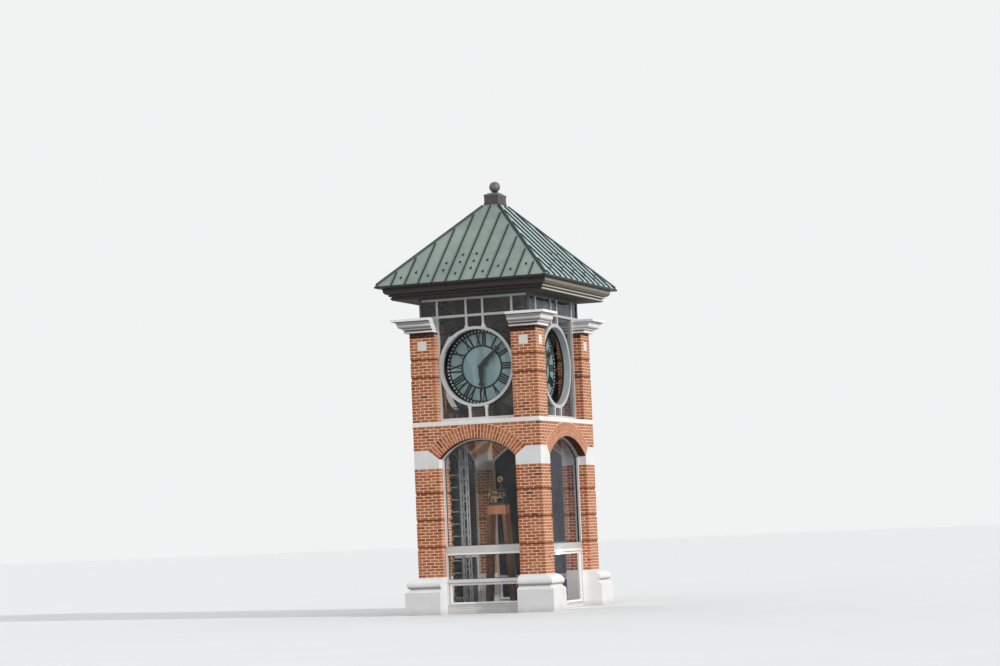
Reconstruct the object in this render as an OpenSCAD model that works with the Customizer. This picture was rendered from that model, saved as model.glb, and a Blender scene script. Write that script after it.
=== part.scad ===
// Clock tower on a rectangular plan: brick corner piers with glazed openings between them,
// a skeleton clock dial on every face, a glazed lantern storey and a hipped metal roof.
// X runs along the front, Y into the depth and Z up. The origin is the plan centre at ground level.

/* [Plan] */
// Width of the front and rear faces, over the brickwork
front_w = 3040; // [2600:10:3600]
// Width of the two side faces, over the brickwork
side_w = 3660; // [3200:10:4200]
// Side of a square corner pier
pier_w = 600; // [500:10:700]
// Thickness of the walls over the arches
wall_t = 305; // [250:5:400]

/* [Brickwork] */
// Height of one brick course with its joint
course_h = 67.75; // [60:0.25:75]
// Courses in a lower pier
lower_courses = 36; // [32:1:40]
// Courses beside an impost stone
impost_courses = 6; // [4:1:7]
// Courses between impost and belt course
spandrel_courses = 8; // [7:1:10]
// Courses in an upper pier
upper_courses = 30; // [30:1:34]
// Depth of a recessed course
recess_d = 18; // [5:1:40]
// First recessed course of a lower pier
lower_recess_first = 10; // [6:1:12]
// Courses from one recess of a lower pier to the next
lower_recess_step = 9; // [6:1:10]
// First recessed course of an upper pier
upper_recess_first = 15; // [12:1:16]
// Courses from one recess of an upper pier to the next
upper_recess_step = 6; // [3:1:7]
// Side of a square inset stone
inset_w = 203; // [150:1:260]
// Depth of an inset stone in the brickwork
inset_d = 90; // [50:5:120]
// Course on which an inset stone starts
inset_course = 24; // [22:1:25]

/* [Plinth stones] */
// Height of a plinth stone
plinth_h = 830; // [700:10:950]
// Height of the plain face of a plinth stone
plinth_face_h = 505; // [400:5:530]
// Reach of the plain face beyond the brickwork
plinth_out = 248; // [200:2:300]
// Reach of the neck under the nosing
neck_out = 150; // [100:2:170]
// Height of the neck under the nosing
neck_z = 588; // [570:2:600]
// Reach of the flare under the neck beyond the neck
neck_flare_out = 18; // [10:1:30]
// Height of the flare under the neck
neck_flare_h = 32; // [20:1:50]
// Reach of the rounded nosing
nose_out = 216; // [180:2:240]
// Height of the rounded nosing's widest line
nose_z = 667; // [640:2:680]

/* [Arches] */
// Height of the springing above the foot of the impost stones
spring_up = 200; // [150:5:260]
// Rise of each arch
arch_rise = 438; // [380:2:450]
// Depth of the brick arch ring
arch_depth = 315; // [311:1:330]

/* [Belt course] */
// Height of the belt course
belt_h = 95; // [60:5:140]
// Reach of the belt course beyond the brickwork
belt_out = 10; // [5:1:40]

/* [Pier caps] */
// Height of the lower band of a cap
cap_band_h = 50; // [40:1:60]
// Reach of the lower band
cap_band_out = 96; // [86:1:110]
// Height of the groove over the lower band
cap_groove_h = 20; // [12:1:26]
// Reach of the groove
cap_groove_out = 80; // [60:1:84]
// Height of the bead over the groove
cap_bead_h = 34; // [24:1:40]
// Reach of the bead
cap_bead_out = 124; // [112:1:128]
// Height of the curved face
cap_curve_h = 150; // [120:2:170]
// Reach at the foot of the curved face
cap_curve_low = 132; // [130:1:150]
// Reach where the curved face is upright
cap_curve_mid = 212; // [190:2:230]
// Reach at the head of the curved face
cap_curve_high = 288; // [260:2:298]
// Wear of the edges of a cap
cap_worn = 4; // [2:1:6]
// Height of the top fillet
cap_top_h = 57; // [40:1:80]
// Reach of the top fillet
cap_top_out = 318; // [305:1:340]

/* [Glazing] */
// Distance from the brick face to the frames
reveal = 190; // [150:5:220]
// Depth of the glazing section
frame_d = 114; // [80:2:114]
// Face width of the glazing section
frame_w = 50; // [40:1:60]
// Thickness of the glass
glass_t = 10; // [6:1:24]
// Height of the sill rail of an upper frame
sill_h = 68; // [50:2:90]
// Half the distance between the pair of bars over and under a dial
pair_x = 200; // [150:5:260]
// Height of the flared foot where a bar of the pair meets a drum
foot_h = 70; // [40:5:120]
// Reach of a flared foot on each side of its bar
foot_out = 30; // [10:1:45]
// Height of the lip along the foot of a rail
lip_h = 34; // [20:1:50]
// Reach of a lip in front of its frame
lip_out = 16; // [8:1:30]
// Top of the bottom panel of a lower front frame
front_kick_z = 199; // [100:1:260]
// Underside of the middle rail of a lower front frame
front_mid_z = 686; // [600:2:740]
// Height of the middle rail of a lower front frame
front_mid_h = 80; // [60:2:100]
// Underside of the transom of a lower front frame
front_transom_z = 1309; // [1200:5:1400]
// Height of a transom
transom_h = 200; // [150:5:240]
// Top of the sill of a lower side frame
side_kick_z = 109; // [80:1:160]
// Underside of the transom of a lower side frame
side_transom_z = 1283; // [1200:5:1400]

/* [Lantern storey] */
// Height of the base rail
base_rail_h = 55; // [40:1:80]
// Height of the glass between the rails
lantern_glass_h = 337; // [280:1:420]
// Height of the head rail
head_rail_h = 50; // [40:1:80]
// Side of a corner post
post_w = 60; // [50:1:80]
// Distance of the outer bars from the jambs of the openings
lantern_bar_in = 20; // [5:1:60]

/* [Clock] */
// Height of the dial centre above the top of the belt course
dial_up = 1209; // [1180:1:1230]
// Gap between a front drum's rim and the brick beside it
drum_gap = 16; // [10:1:40]
// Wall of the front and rear drums
drum_wall_front = 62; // [40:1:70]
// Extra radius of the side drums
side_drum_more = 65; // [30:1:90]
// Wall of the side drums
drum_wall_side = 80; // [50:1:90]
// Distance from the brick face to a drum's rim
drum_in = 178; // [160:1:188]
// Depth of a drum
drum_d = 195; // [150:5:200]
// Distance from the brick face to a dial
dial_in = 530; // [500:5:560]
// Gap between a dial's edge and the piers beside it
dial_gap = 6; // [5:1:12]
// Thickness of a dial
dial_t = 12; // [8:1:20]
// Width of a dial's minute band
band_w = 149; // [135:1:170]
// Distance of the minute openings from a dial's edge
minute_in = 99; // [84:1:110]
// Side of a minute opening
minute_w = 46; // [20:1:50]
// Room for the numerals, from the minute band to the ring under them
numeral_room = 269; // [240:1:290]
// Width of the ring under the numerals
chapter_w = 36; // [20:1:44]
// Thickness of the glass behind a dial
dial_glass_t = 8; // [5:1:12]
// Distance of the glass behind a dial from its edge
dial_glass_in = 64; // [54:1:90]
// Gap between the glass behind a dial and the bar behind it
glass_gap = 2; // [1:1:5]
// Gap round the hour sleeve in the glass behind a dial
sleeve_gap = 4; // [2:1:8]
// Radius of a standoff between drum and dial
standoff_r = 10; // [6:1:12]

/* [Hands] */
// Distance from the brick face to the minute hands
hand_in = 430; // [400:1:440]
// Thickness of a hand
hand_t = 8; // [5:1:10]
// Gap between minute and hour hand
hand_gap = 10; // [6:1:14]
// Distance of a minute hand's point from a dial's edge
minute_short = 94; // [80:1:180]
// Reach of an hour hand beyond the ring under the numerals
hour_over = 64; // [30:1:110]
// Distance of a minute hand's lobes outside the ring under the numerals
minute_lobe_out = 83; // [60:1:110]
// Distance of an hour hand's lobes inside the ring under the numerals
hour_lobe_in = 104; // [80:1:140]
// Radius of a hand's hub
hub_r = 60; // [50:1:80]
// Half width of a hand's blade where it is widest
hand_half_w = 58; // [40:1:64]
// Distance of the widest part of a blade from the hub's centre
belly_at = 124; // [100:1:160]
// Half width of a blade between its lobes
waist_half_w = 27; // [16:1:36]
// Radius of the lobes of a hand
lobe_r = 39; // [24:1:50]
// Distance of a lobe's centre from the middle line of its hand
lobe_out = 28; // [16:1:34]
// Half the width of a hand at its tip
tip_half_w = 14; // [6:1:18]
// Radius of a minute arbor
arbor_r = 12; // [8:1:14]
// Wall of an hour sleeve
sleeve_t = 8; // [5:1:10]
// Running clearance of arbor, sleeve and bearing
run_gap = 0.3; // [0.1:0.1:0.6]
// Reach of a minute arbor in front of its hand
arbor_front = 14; // [8:1:20]
// Step between the rear ends of sleeve, arbor and bearing
arbor_step = 6; // [4:1:10]
// Radius of a hand bearing
bearing_r = 45; // [36:1:60]
// Length of a hand bearing
bearing_l = 90; // [60:5:120]
// Distance of a bearing bar's end from a dial's edge
bridge_end = 4; // [2:1:10]
// Width of the lug between a dial and its bearing bar
lug_w = 32; // [20:1:36]
// Height of the bar that carries a hand bearing
bridge_h = 80; // [50:5:90]
// Thickness of the bar that carries a hand bearing
bridge_t = 30; // [15:1:40]
// Angle of the hour hands from twelve
hour_deg = 179; // [0:1:359]
// Angle of the minute hands from twelve
minute_deg = 46; // [0:1:359]

/* [Clock movement] */
// Distance of the movement from the tower's axis, towards the left
stand_x = 120; // [60:10:160]
// Distance of the movement from the tower's axis, towards the front
stand_y = 300; // [200:10:340]
// Height of the timber stand over the floor slab
stand_h = 2345; // [1800:5:2500]
// Width of the stand's top
stand_w = 440; // [400:5:520]
// Length of the stand's top
stand_l = 320; // [300:5:400]
// Height of the beams under the movement
beam_h = 200; // [120:5:220]
// Face width of a leg
leg_w = 85; // [60:5:110]
// Thickness of the stand's timbers
timber_t = 60; // [40:5:80]
// Spread of a leg from its head to its foot
leg_splay = 130; // [60:5:170]
// Height of the low rails over the floor slab
rail_up = 620; // [400:10:900]
// Height of the iron bed
bed_h = 36; // [20:2:50]
// Height of the plates that carry the wheels
plate_h = 340; // [300:5:380]
// Thickness of a plate
plate_t = 14; // [10:1:20]
// Width of a plate's rim
plate_rim = 34; // [24:1:44]
// Height of the wheel arbors over the bed
train_up = 200; // [180:5:220]
// Radius of the great wheel
great_r = 110; // [100:1:120]
// Radius of the second wheel
second_r = 80; // [70:1:85]
// Radius of the third wheel
third_r = 74; // [60:1:78]
// Radius of a pinion
pinion_r = 20; // [16:1:24]
// Radius of the rope drum
rope_r = 72; // [60:1:90]
// Radius of a wheel arbor
wheel_arbor_r = 8; // [6:1:12]
// Thickness of a wheel
wheel_t = 12; // [8:1:16]
// Gap between a wheel's teeth and the pinion beside it
mesh_gap = 2; // [1:0.5:4]
// Height of the fly's arbor over the bed
fly_up = 560; // [500:5:600]
// Radius of the fly
fly_r = 68; // [50:1:80]

/* [Ladder and mast] */
// Gap between the ladder and the glazing beside it
ladder_gap = 31; // [20:1:60]
// Distance of ladder and mast from the tower's axis, towards the front
ladder_y = 600; // [520:10:700]
// Width of the ladder
ladder_w = 270; // [240:5:290]
// Height of the ladder over the floor slab
ladder_h = 3450; // [3000:10:3600]
// Depth of a ladder rail
ladder_rail_d = 60; // [40:5:70]
// Width of a ladder rail
ladder_rail_w = 28; // [20:1:35]
// Distance between rungs
rung_step = 280; // [250:5:300]
// Radius of a rung
rung_r = 14; // [10:1:18]
// Gap between the ladder and the mast
mast_gap = 20; // [10:1:60]
// Side of the lattice mast
mast_w = 160; // [140:5:180]
// Side of a tube of the mast
mast_tube = 22; // [16:1:30]
// Bays of the mast's lattice
mast_bays = 20; // [12:1:24]
// Height of one bay
mast_bay_h = 195; // [150:5:200]
// Width of a lattice bar
lattice_w = 12; // [8:1:18]

/* [Eaves] */
// Thickness of the soffit boards
soffit_t = 15; // [10:1:30]
// Reach of the eaves box at its foot
eaves_foot_out = 282; // [250:2:288]
// Height of the bead along the foot
foot_bead_h = 40; // [30:1:50]
// Reach of the bead along the foot
foot_bead_out = 304; // [296:1:312]
// Height of the groove between the beads
eaves_groove_h = 26; // [18:1:34]
// Reach of the groove
eaves_groove_out = 278; // [262:1:284]
// Height of the bead under the gutter
gutter_bead_h = 42; // [30:1:50]
// Reach of the bead under the gutter
gutter_bead_out = 338; // [328:1:344]
// Height of the gutter's curved foot
gutter_curve_h = 88; // [60:1:110]
// Reach of the gutter
gutter_out = 432; // [410:2:450]
// Height of the eaves box
eaves_h = 256; // [240:2:300]
// Inner reach of the eaves box
eaves_inner = 60; // [20:5:120]

/* [Roof] */
// Reach of the roof edge beyond the side faces
roof_out_x = 545; // [480:5:600]
// Reach of the roof edge beyond the front and rear faces
roof_out_y = 645; // [560:5:700]
// Height of the roof edge
roof_edge_h = 31; // [20:1:50]
// Rise of the roof from its edge to the vent box
roof_rise = 1937; // [1700:5:2200]
// Thickness of the roof, measured upright
roof_t = 75; // [50:5:110]
// Thickness of the board under the roof edge
edge_board_t = 17; // [10:1:20]
// Distance between seams on the front and rear slopes
seam_x = 330; // [250:5:450]
// Distance between seams on the side slopes
seam_y = 380; // [280:5:480]
// Thickness of a standing seam
seam_t = 12; // [8:1:20]
// Height of a standing seam
seam_h = 32; // [20:1:45]
// Depth to which the hip caps hide their upper ends in the roof
hip_sink = 70; // [50:5:120]
// Half width of a hip cap
hip_w = 52; // [40:1:80]
// Height of a hip cap over the hip
hip_h = 26; // [20:1:45]

/* [Vent box and ball] */
// Width of the vent box
vent_w = 340; // [280:5:420]
// Length of the vent box
vent_l = 536; // [440:5:640]
// Height of the vent box
vent_h = 204; // [150:2:240]
// Wall of the vent box
vent_wall = 12; // [6:1:20]
// Reach of the lid beyond the vent box
lid_out = 10; // [6:1:40]
// Height of the lid's upright edge
lid_edge_h = 28; // [20:1:45]
// Rise of the lid
lid_rise = 62; // [40:2:100]
// Side of the flat top of the lid
lid_flat = 190; // [150:5:220]
// Height of the collar round the foot of the vent box
collar_h = 34; // [20:1:50]
// Reach of the collar
collar_out = 14; // [8:1:20]
// Radius of the ball
ball_r = 128; // [100:1:160]
// Radius of the ball's neck
neck_r = 34; // [20:1:50]
// Height of the neck between lid and ball
neck_h = 10; // [8:1:30]
// Depth to which the ball hides its neck
ball_sink = 6; // [4:1:7]

/* [Floor] */
// Thickness of the floor slab
floor_t = 50; // [30:5:90]

/* [Hidden] */
$fn = 96;
// Overlap that lets two pieces fuse, and a cut run past a face
over = 1;
hx = front_w / 2;
hy = side_w / 2;
half_f = hx - pier_w;
half_s = hy - pier_w;
pier_top = plinth_h + lower_courses * course_h;
impost_top = pier_top + impost_courses * course_h;
spring_z = pier_top + spring_up;
crown_z = spring_z + arch_rise;
belt_z = impost_top + spandrel_courses * course_h;
upper_z = belt_z + belt_h;
cap_z = upper_z + upper_courses * course_h;
cap_h = cap_band_h + cap_groove_h + cap_bead_h + cap_curve_h + cap_top_h;
lantern_z = cap_z + cap_h;
lantern_glass_z = lantern_z + base_rail_h;
head_z = lantern_glass_z + lantern_glass_h;
soffit_z = head_z + head_rail_h;
eaves_z = soffit_z + soffit_t;
roof_z = eaves_z + eaves_h;
slope_z = roof_z + roof_edge_h;
vent_z = slope_z + roof_rise;
lid_z = vent_z + vent_h;
ladder_x = hx - reveal - frame_d - ladder_gap - ladder_w / 2;
mast_x = ladder_x - ladder_w / 2 - mast_gap - mast_w / 2;
ball_z = lid_z + lid_edge_h + lid_rise + neck_h + ball_r - ball_sink;
dial_z = upper_z + dial_up;
rx = hx + roof_out_x;
ry = hy + roof_out_y;
sleeve_r = arbor_r + run_gap + sleeve_t;
bearing_hole = sleeve_r + run_gap;
glass_back_in = dial_in + dial_t + dial_glass_t;
bearing_in = glass_back_in + glass_gap;
far = 2 * (front_w + side_w);
drum_r_front = half_f - drum_gap;
drum_r_side = drum_r_front + side_drum_more;
dial_r = half_f - dial_gap;
band_r = dial_r - band_w;
minute_r = dial_r - minute_in;
chapter_r = band_r - numeral_room;
dial_glass_r = dial_r - dial_glass_in;
minute_l = dial_r - minute_short;
hour_l = chapter_r + hour_over;
minute_lobe_at = chapter_r + minute_lobe_out;
hour_lobe_at = chapter_r - hour_lobe_in;
stand_top = floor_t + stand_h;
bed_top = stand_top + bed_h;
FRONT = 0;
RIGHT = 1;
REAR = 2;
LEFT = 3;
FACES = [FRONT, RIGHT, REAR, LEFT];
BRICK = "#b4583c";
STONE = "#dcdcd8";
METAL = "#a9adaf";
BRONZE = "#5c564c";
GREEN = "#3f5a4c";

function even(i) = i % 2 == 0;
function half_of(i) = even(i) ? half_f : half_s;
function face_of(i) = even(i) ? hy : hx;
function drum_r_of(i) = even(i) ? drum_r_front : drum_r_side;
function drum_wall_of(i) = even(i) ? drum_wall_front : drum_wall_side;
function arch_r(half) = (half * half + arch_rise * arch_rise) / (2 * arch_rise);
function arch_cz(half) = crown_z - arch_r(half);
function standoff_at(i) = min(drum_r_of(i), dial_r) - standoff_r - glass_gap;

// Places its children on a face: x to the right as seen from outside, y inward from the brick face.
module on_face(i) {
  rotate([0, 0, 90 * i])
    translate([0, -face_of(i), 0])
      children();
}

// Stands a flat outline up on a face, from depth y0 to depth y0 + t.
module upright(y0, t) {
  translate([0, y0 + t, 0])
    rotate([90, 0, 0])
      linear_extrude(height = t)
        children();
}

// Repeats a piece drawn at the corner +X +Y on all four corners.
module four_corners() {
  for (sx = [0, 1])
    for (sy = [0, 1])
      mirror([sx, 0, 0])
        mirror([0, sy, 0])
          children();
}

// Block of one corner pier between two heights.
module pier_block(z0, z1) {
  translate([half_f, half_s, z0])
    cube([pier_w, pier_w, z1 - z0]);
}

// A corner stone whose moulding runs round the two outer sides and ends flat at the openings.
module corner_stone(outs) {
  n = len(outs);
  zs = [for (p = outs) p[1]];
  intersection() {
    rotate([90, 0, 0])
      linear_extrude(height = far, center = true)
        polygon(concat([[half_f, zs[0]]], [for (p = outs) [hx + p[0], p[1]]], [[half_f, zs[n - 1]]]));
    rotate([90, 0, 90])
      linear_extrude(height = far, center = true)
        polygon(concat([[half_s, zs[0]]], [for (p = outs) [hy + p[0], p[1]]], [[half_s, zs[n - 1]]]));
  }
}

// A moulding that runs round the whole tower with mitred corners.
module round_moulding(outs) {
  n = len(outs);
  intersection() {
    rotate([90, 0, 0])
      linear_extrude(height = far, center = true)
        polygon(concat(
          [for (p = outs) [hx + p[0], p[1]]],
          [for (k = [n - 1 : -1 : 0]) [-hx - outs[k][0], outs[k][1]]]));
    rotate([90, 0, 90])
      linear_extrude(height = far, center = true)
        polygon(concat(
          [for (p = outs) [hy + p[0], p[1]]],
          [for (k = [n - 1 : -1 : 0]) [-hy - outs[k][0], outs[k][1]]]));
  }
}

function plinth_outs() = concat(
  [[plinth_out, 0], [plinth_out, plinth_face_h]],
  [[neck_out + neck_flare_out, neck_z - neck_flare_h]],
  [for (a = [0 : 15 : 90]) [
    neck_out + (nose_out - neck_out) * sin(a),
    nose_z - (nose_z - neck_z) * cos(a)]],
  [for (a = [15 : 15 : 90]) [
    nose_out * pow(cos(a), 1.3),
    nose_z + (plinth_h - nose_z) * sin(a)]]);

module plinths() {
  color(STONE)
    four_corners()
      corner_stone(plinth_outs());
}

// Cuts of one recessed course: the two outer faces and the brick reveals beside them.
module course_cut(z) {
  long = pier_w + 2 * over;
  deep = recess_d + over;
  translate([hx - recess_d, half_s - over, z])
    cube([deep, long, course_h]);
  translate([half_f - over, hy - recess_d, z])
    cube([long, deep, course_h]);
  translate([hx - reveal, half_s - over, z])
    cube([reveal + over, deep, course_h]);
  translate([half_f - over, hy - reveal, z])
    cube([deep, reveal + over, course_h]);
}

module lower_piers() {
  color(BRICK)
    four_corners()
      difference() {
        pier_block(plinth_h, pier_top);
        for (k = [0 : 2])
          course_cut(plinth_h + (lower_recess_first - 1 + k * lower_recess_step) * course_h);
      }
}

// Outline of an arch ring from springing to springing, seen from the front.
module arch_sector(half, r) {
  cz = arch_cz(half);
  k = 2 * (r + over) / (spring_z - cz);
  intersection() {
    translate([0, cz])
      circle(r, $fn = 180);
    polygon([
      [0, cz],
      [-k * half, cz + k * (spring_z - cz)],
      [k * half, cz + k * (spring_z - cz)]]);
  }
}

module arch_voids() {
  for (i = FACES)
    on_face(i)
      upright(-1, wall_t + 1)
        arch_sector(half_of(i), arch_r(half_of(i)) + arch_depth);
}

module imposts() {
  color(STONE)
    difference() {
      four_corners()
        pier_block(pier_top, impost_top);
      arch_voids();
    }
}

module arches() {
  color(BRICK)
    for (i = FACES)
      on_face(i)
        upright(0, wall_t)
          intersection() {
            difference() {
              arch_sector(half_of(i), arch_r(half_of(i)) + arch_depth);
              translate([0, arch_cz(half_of(i))])
                circle(arch_r(half_of(i)), $fn = 180);
            }
            translate([-far, 0])
              square([2 * far, belt_z]);
          }
}

// Walls between the piers, as a hollow rectangle with the pier corners filled.
module wall_ring(z0, z1, out) {
  difference() {
    translate([-hx - out, -hy - out, z0])
      cube([front_w + 2 * out, side_w + 2 * out, z1 - z0]);
    difference() {
      translate([-hx + wall_t, -hy + wall_t, z0 - over])
        cube([front_w - 2 * wall_t, side_w - 2 * wall_t, z1 - z0 + 2 * over]);
      four_corners()
        pier_block(z0 - 2 * over, z1 + 2 * over);
    }
  }
}

module spandrels() {
  color(BRICK)
    difference() {
      wall_ring(impost_top, belt_z, 0);
      arch_voids();
    }
}

module belt_course() {
  color(STONE)
    wall_ring(belt_z, upper_z, belt_out);
}

// Centre height of the inset stones.
inset_z = upper_z + inset_course * course_h + inset_w / 2;

module inset_blocks(d) {
  for (s = [-1, 1])
    for (i = FACES)
      on_face(i)
        translate([s * (half_of(i) + pier_w / 2) - inset_w / 2, 0, inset_z - inset_w / 2])
          cube([inset_w, d, inset_w]);
}

module upper_piers() {
  color(BRICK)
    difference() {
      four_corners()
        difference() {
          pier_block(upper_z, cap_z);
          for (k = [0 : 1])
            course_cut(upper_z + (upper_recess_first - 1 + k * upper_recess_step) * course_h);
        }
      inset_blocks(inset_d);
    }
}

module inset_stones() {
  color("white")
    inset_blocks(inset_d);
}

// Reaches and heights of a cap: band, groove, bead, a curve that is upright at its middle, top fillet.
cap_bead_z = cap_z + cap_band_h + cap_groove_h;
cap_curve_z = cap_bead_z + cap_bead_h;

function cap_outs() = concat(
  [
    [cap_band_out - cap_worn, cap_z],
    [cap_band_out, cap_z + cap_worn],
    [cap_band_out, cap_z + cap_band_h - cap_worn],
    [cap_band_out - cap_worn, cap_z + cap_band_h],
    [cap_groove_out, cap_z + cap_band_h + cap_worn],
    [cap_groove_out, cap_bead_z]],
  [for (a = [0 : 30 : 180]) [
    cap_bead_out - cap_bead_h / 2 * (1 - sin(a)),
    cap_bead_z + cap_bead_h / 2 * (1 - cos(a))]],
  [for (a = [0 : 15 : 90]) [
    cap_curve_low + (cap_curve_mid - cap_curve_low) * sin(a),
    cap_curve_z + cap_curve_h / 2 * (1 - cos(a))]],
  [for (a = [15 : 15 : 90]) [
    cap_curve_high - (cap_curve_high - cap_curve_mid) * cos(a),
    cap_curve_z + cap_curve_h / 2 * (1 + sin(a))]],
  [
    [cap_top_out, cap_curve_z + cap_curve_h + cap_worn],
    [cap_top_out, cap_z + cap_h - cap_worn],
    [cap_top_out - cap_worn, cap_z + cap_h]]);

module pier_caps() {
  color(STONE)
    four_corners()
      corner_stone(cap_outs());
}

// Outline of a lower opening with its arched head, drawn in by t all round but at the ground.
module lower_outline(half, t) {
  r = arch_r(half) - t;
  cz = arch_cz(half);
  zs = cz + sqrt(r * r - (half - t) * (half - t));
  intersection() {
    translate([t - half, 0])
      square([2 * (half - t), cz + r + 1]);
    union() {
      translate([0, cz])
        circle(r, $fn = 180);
      translate([-half, 0])
        square([2 * half, zs - 1]);
    }
  }
}

// Bands of glass from the ground up, as pairs of heights.
function bands(i) = even(i)
  ? [[front_kick_z, front_mid_z], [front_mid_z + front_mid_h, front_transom_z],
     [front_transom_z + transom_h, belt_z]]
  : [[side_kick_z, side_transom_z], [side_transom_z + transom_h, belt_z]];

module lower_panes(i) {
  intersection() {
    lower_outline(half_of(i), frame_w);
    for (b = bands(i))
      translate([-far, b[0]])
        square([2 * far, b[1] - b[0]]);
  }
}

// Heights of the lips along the foot of the rails.
function lips(i) = even(i)
  ? [front_kick_z - lip_h, front_mid_z, front_transom_z]
  : [side_kick_z - lip_h, side_transom_z];

module lower_frame(i) {
  color(METAL)
    on_face(i) {
      upright(reveal, frame_d)
        difference() {
          lower_outline(half_of(i), 0);
          lower_panes(i);
        }
      for (z = lips(i))
        translate([-half_of(i), reveal - lip_out, z])
          cube([2 * half_of(i), lip_out + over, lip_h]);
    }
}

module lower_frame_front() {
  lower_frame(FRONT);
}

module lower_frame_right() {
  lower_frame(RIGHT);
}

module lower_frame_rear() {
  lower_frame(REAR);
}

module lower_frame_left() {
  lower_frame(LEFT);
}

module lower_glass() {
  color("lightblue", 0.4)
    for (i = FACES)
      on_face(i)
        upright(reveal + (frame_d - glass_t) / 2, glass_t)
          lower_panes(i);
}

module drum_circle(i) {
  translate([0, dial_z])
    circle(drum_r_of(i), $fn = 180);
}

// Pair of bars over and under a drum, with flared feet where they meet it.
module pair_bars(i) {
  foot_z = sqrt(pow(drum_r_of(i), 2) - pow(pair_x + frame_w / 2 + foot_out, 2)) - over;
  head_z = sqrt(pow(drum_r_of(i), 2) - pow(pair_x - frame_w / 2, 2)) + foot_h;
  for (s = [-1, 1])
    translate([s * pair_x, 0]) {
      translate([-frame_w / 2, 0])
        square([frame_w, lantern_z + over]);
      for (t = [-1, 1])
        polygon([
          [-frame_w / 2 - foot_out, dial_z + t * foot_z],
          [frame_w / 2 + foot_out, dial_z + t * foot_z],
          [frame_w / 2, dial_z + t * head_z],
          [-frame_w / 2, dial_z + t * head_z]]);
    }
}

module upper_panes(i) {
  w = half_of(i) - frame_w;
  difference() {
    translate([-w, upper_z + sill_h])
      square([2 * w, lantern_z - upper_z - sill_h]);
    pair_bars(i);
    drum_circle(i);
  }
}

module upper_frame(i) {
  color(METAL)
    on_face(i)
      upright(reveal, frame_d)
        difference() {
          translate([-half_of(i), upper_z])
            square([2 * half_of(i), lantern_z - upper_z]);
          upper_panes(i);
          drum_circle(i);
        }
}

module upper_frame_front() {
  upper_frame(FRONT);
}

module upper_frame_right() {
  upper_frame(RIGHT);
}

module upper_frame_rear() {
  upper_frame(REAR);
}

module upper_frame_left() {
  upper_frame(LEFT);
}

module upper_panes_of(faces) {
  color("lightblue", 0.4)
    for (i = faces)
      on_face(i)
        upright(reveal + (frame_d - glass_t) / 2, glass_t)
          upper_panes(i);
}

module upper_glass() {
  upper_panes_of([FRONT, REAR]);
}

module side_glass() {
  upper_panes_of([RIGHT, LEFT]);
}

// A drum that lines the round opening of a face, with standoffs that carry the dial.
module drum(i) {
  color(METAL)
    on_face(i) {
      upright(drum_in, drum_d)
        translate([0, dial_z])
          difference() {
            circle(drum_r_of(i), $fn = 180);
            circle(drum_r_of(i) - drum_wall_of(i), $fn = 180);
          }
      upright(drum_in + drum_d, dial_in - drum_in - drum_d)
        translate([0, dial_z])
          for (a = [22.5 : 45 : 359])
            rotate(a)
              translate([standoff_at(i), 0])
                circle(standoff_r, $fn = 32);
    }
}

module drum_front() {
  drum(FRONT);
}

module drum_right() {
  drum(RIGHT);
}

module drum_rear() {
  drum(REAR);
}

module drum_left() {
  drum(LEFT);
}

numeral_sink = 6;
numeral_h = numeral_room + 2 * numeral_sink;
stroke = 37;
thin = 18;
pitch = stroke + thin;
v_half = 40;
x_half = 43;

// Upright stroke of a numeral.
module stroke_i(x) {
  translate([x - stroke / 2, -numeral_h / 2])
    square([stroke, numeral_h]);
}

// Slanted stroke of a numeral, from foot x0 to head x1.
module slant(x0, x1, w) {
  polygon([
    [x0 - w / 2, -numeral_h / 2],
    [x0 + w / 2, -numeral_h / 2],
    [x1 + w / 2, numeral_h / 2],
    [x1 - w / 2, numeral_h / 2]]);
}

module stroke_v(x) {
  slant(x, x - v_half, stroke);
  slant(x, x + v_half, thin);
}

module stroke_x(x) {
  slant(x + x_half, x - x_half, stroke);
  slant(x - x_half, x + x_half, thin);
}

// Strokes of the numeral for an hour: the kind of each stroke and its place, counted in pitches.
function numeral(n) = [
  [["i", 0]],
  [["i", -0.5], ["i", 0.5]],
  [["i", -1], ["i", 0], ["i", 1]],
  [["i", -1.5], ["i", -0.5], ["i", 0.5], ["i", 1.5]],
  [["v", 0]],
  [["v", -0.75], ["i", 1]],
  [["v", -1.25], ["i", 0.5], ["i", 1.5]],
  [["v", -1.75], ["i", 0], ["i", 1], ["i", 2]],
  [["i", -1.4], ["x", 0.6]],
  [["x", 0]],
  [["x", -0.6], ["i", 1.4]],
  [["x", -1.1], ["i", 0.9], ["i", 1.9]]][n - 1];

module numeral_outline(n) {
  for (s = numeral(n))
    if (s[0] == "i") stroke_i(s[1] * pitch);
    else if (s[0] == "v") stroke_v(s[1] * pitch);
    else stroke_x(s[1] * pitch);
}

// Skeleton dial: a minute band and an inner ring joined by the twelve numerals.
module dial_outline() {
  difference() {
    circle(dial_r, $fn = 180);
    circle(band_r, $fn = 180);
    for (m = [0 : 59])
      rotate(6 * m + 3)
        translate([minute_r, 0])
          square([minute_w, minute_w], center = true);
  }
  difference() {
    circle(chapter_r, $fn = 120);
    circle(chapter_r - chapter_w, $fn = 120);
  }
  for (n = [1 : 12])
    rotate(-30 * n)
      translate([0, (band_r + chapter_r) / 2])
        numeral_outline(n);
}

module dial(i) {
  color("#26282a")
    on_face(i)
      upright(dial_in, dial_t)
        translate([0, dial_z])
          dial_outline();
}

module dial_front() {
  dial(FRONT);
}

module dial_right() {
  dial(RIGHT);
}

module dial_rear() {
  dial(REAR);
}

module dial_left() {
  dial(LEFT);
}

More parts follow.
